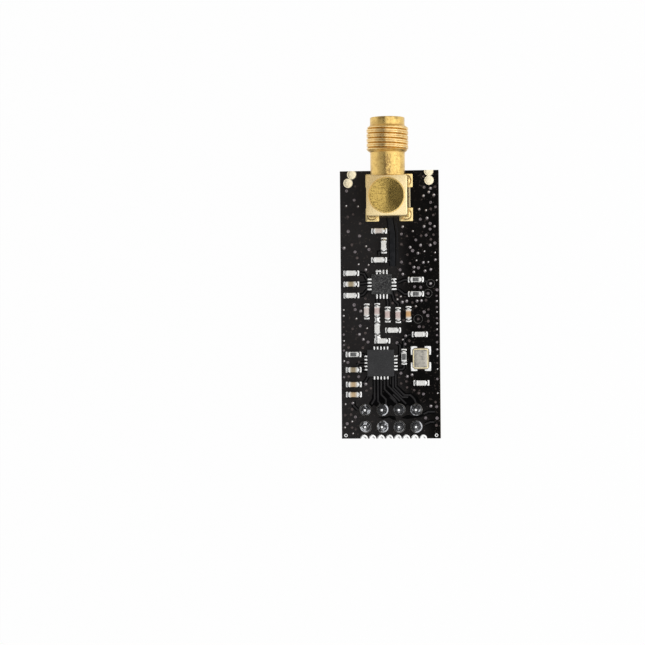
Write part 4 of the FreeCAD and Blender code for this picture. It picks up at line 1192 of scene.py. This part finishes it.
def blockFinish():
    # painted reflection: duller towards the far left corner and paler towards the near right, with fine
    # tool marks
    finish = Finish("blockGold")
    spot = finish.place()
    x, y = map((spot - tuple(cadMiddle("jack_block"))).part, "XY")
    mottle = finish.speckle(spot, 0.28, 3, 0.65, 0.4)
    cloud = finish.speckle(spot, 1.5, 4, 0.6)
    milled = finish.speckle(finish.place((1, 0.06, 1)), 0.05, 2, 0.6)
    grain = finish.speckle(spot, 0.05, 2, 0.7)
    # painted reflection: the gold paler towards the right and the near edge, with less mottle there
    reflectionRamp = (x - y * 0.8 + cloud * 2.0).ease(-2.8, 3.6)
    light = finish.blend(reflectionRamp, (0.62, 0.46, 0.22), (0.97, 0.79, 0.44))
    share = mottle.ease(0.46, 0.72) * 0.55 + cloud.ease(0.5, 0.75) * 0.2
    return finish.done(finish.blend(share * (1.1 - reflectionRamp), light, (0.58, 0.39, 0.15)),
                       0.17 + mottle * 0.14,
                       finish.relief(mottle * 0.6 + grain * 0.3 + milled * 0.3, 0.008), metal=1.0)


cap = {"rim": (2.50, 2.56), "slope": 3.0, "depth": 0.013}  # the slope leans the dish's look by 2 degrees


def capFinish():
    # a stained dish inside a clean rim
    finish = Finish("capGold")
    spot = finish.place()
    x, y = map((spot - tuple(cadMiddle("jack_cap"))).part, "XY")
    rim = ((x * x + y * y) ** 0.5).ease(*cap["rim"])
    stain = finish.speckle(spot, 0.21, 3, 0.75, 0.2)
    cloud = finish.speckle(spot, 1.1, 3, 0.6)
    grain = finish.speckle(spot, 0.06, 2, 0.7)
    dish = finish.blend(stain.ease(0.47, 0.58) * 0.6 + cloud.ease(0.5, 0.7) * 0.2,
                        (0.55, 0.38, 0.105), (0.21, 0.135, 0.035))
    return finish.done(finish.blend(rim, dish, (0.96, 0.80, 0.46)), 0.11 + stain.ease(0.50, 0.60) * 0.26,
                       finish.relief(stain + grain * 0.3 + x * cap["slope"], cap["depth"]), metal=1.0)


def pinFinish():
    # gold below the board, wetted with solder above it
    finish = Finish("pinGold")
    spot = finish.place()
    wet = spot.part("Z").ease(maskTop, maskTop + 0.3)
    cloud = finish.speckle(spot, 0.5, 3, 0.6)
    grain = finish.speckle(spot, 0.07, 2, 0.7)
    colour = finish.blend(cloud.ease(0.4, 0.75), (0.89, 0.66, 0.29), (0.78, 0.55, 0.22))
    return finish.done(finish.blend(wet, colour, (0.88, 0.88, 0.88)), 0.15 + cloud * 0.14,
                       finish.relief(cloud + grain * 0.3, 0.006), metal=1.0)


def dressKeptPieces():
    for finish, names in keptPieces.items():
        for name in names:
            materials = nodes[name].data.materials
            if not materials:
                materials.append(finishes[finish])
            for place in range(len(materials)):
                materials[place] = finishes[finish]
    print("kept pieces dressed")


# the studio; a panel is its place, what it faces (nothing for straight down), its size and its glow
studio = {
    "floorSize": 2.4,
    "floorColour": (1.0, 1.0, 1.0),
    "seenWhite": 0.96,
    "sky": [(0.0, (0.90, 0.90, 0.90)), (0.52, (0.88, 0.88, 0.88)), (0.66, (0.50, 0.50, 0.51)),
            (0.86, (0.14, 0.14, 0.145)), (1.0, (0.10, 0.10, 0.105))],
    "cameraPlace": (0.01804, 0.01317, 0.300),
    "cameraTurn": (0.0035, 0.0952, -0.0082),
    "lens": 110.2,
    "panels": {
        "overheadPanel": ((0.310, 0.03, 0.44), None, (0.75, 0.90), 1.15),
        "rightPanel": ((0.62, 0.02, 0.14), (0, 0.02, 0.0), (0.26, 0.70), 0.95),
        "leftPanel": ((-0.40, 0.02, 0.30), (0, 0.02, 0.0), (0.36, 0.60), 0.36),
        "frontPanel": ((0.0, -0.50, 0.25), (0, 0.02, 0.0), (0.60, 0.20), 0.8),
    },
}


def floorFinish():
    # matt white that camera, mirrors and glass see as plain white
    finish = Finish("studioFloor")
    seen, mirrored, through = (finish.node("ShaderNodeLightPath", {}, {}, f"Is {kind} Ray")
                               for kind in ("Camera", "Glossy", "Transmission"))
    rays = seen + mirrored + through
    matt = finish.node("ShaderNodeBsdfDiffuse", {}, {"Color": studio["floorColour"]})
    white = finish.node("ShaderNodeEmission", {}, {"Color": (1.0, 1.0, 1.0), "Strength": 1.0})
    share = rays.maths("MINIMUM", rays, 1) * studio["seenWhite"]
    floor = finish.node("ShaderNodeMixShader", {}, {0: share, 1: matt, 2: white})
    finish.node("ShaderNodeOutputMaterial", {}, {"Surface": floor})
    return finish.owner


def makeSky():
    # grey overhead and pale at the sides, and plain white to the camera
    sky = Finish("studioSky", "worlds")
    up = sky.node("ShaderNodeTexCoord", {}, {}, "Generated").part("Z") * 0.5 + 0.5
    light = sky.node("ShaderNodeValToRGB", {"stops": studio["sky"]}, {"Fac": up})
    seen = sky.node("ShaderNodeLightPath", {}, {}, "Is Camera Ray")
    back = sky.node("ShaderNodeBackground", {}, {"Color": sky.blend(seen, light, (1.0, 1.0, 1.0))})
    sky.node("ShaderNodeOutputWorld", {}, {"Surface": back})
    return sky.owner


def makeStudio():
    scene = bpy.context.scene
    half, low = studio["floorSize"] / 2, cadBox[0].z
    mesh = bpy.data.meshes.new("studioFloor")
    mesh.from_pydata([(x * half, y * half, low) for x, y in ringCorners], [], [(0, 1, 2, 3)])
    mesh.materials.append(floorFinish())
    floor = bpy.data.objects.new("studioFloor", mesh)
    scene.collection.objects.link(floor)
    scene.world = makeSky()

    for name, (place, target, size, glow) in studio["panels"].items():
        light = bpy.data.lights.new(name, "AREA")
        light.shape = "RECTANGLE"
        light.size, light.size_y = size
        light.energy = glow * math.pi * size[0] * size[1]
        panel = bpy.data.objects.new(name, light)
        panel.location = place
        if target:
            panel.rotation_euler = (Vector(target) - Vector(place)).to_track_quat("-Z", "Y").to_euler()
        scene.collection.objects.link(panel)

    cameraData = bpy.data.cameras.new("photoCamera")
    cameraData.lens = studio["lens"]
    cameraData.clip_start = 0.01
    camera = bpy.data.objects.new("photoCamera", cameraData)
    camera.location = studio["cameraPlace"]
    camera.rotation_euler = studio["cameraTurn"]
    scene.collection.objects.link(camera)
    scene.camera = camera
    scene.view_settings.view_transform = "Standard"
    print("studio ready")


for make in (makeFinishes, dressKeptPieces, makeTracks, makeLinks, makePrint, makeHeaderJoints,
             makeEdgeRounds, makeSmallParts, makeSurfaceJoints, makeCrystal, makeJackPads, makeBarrel,
             makeStudio):
    make()
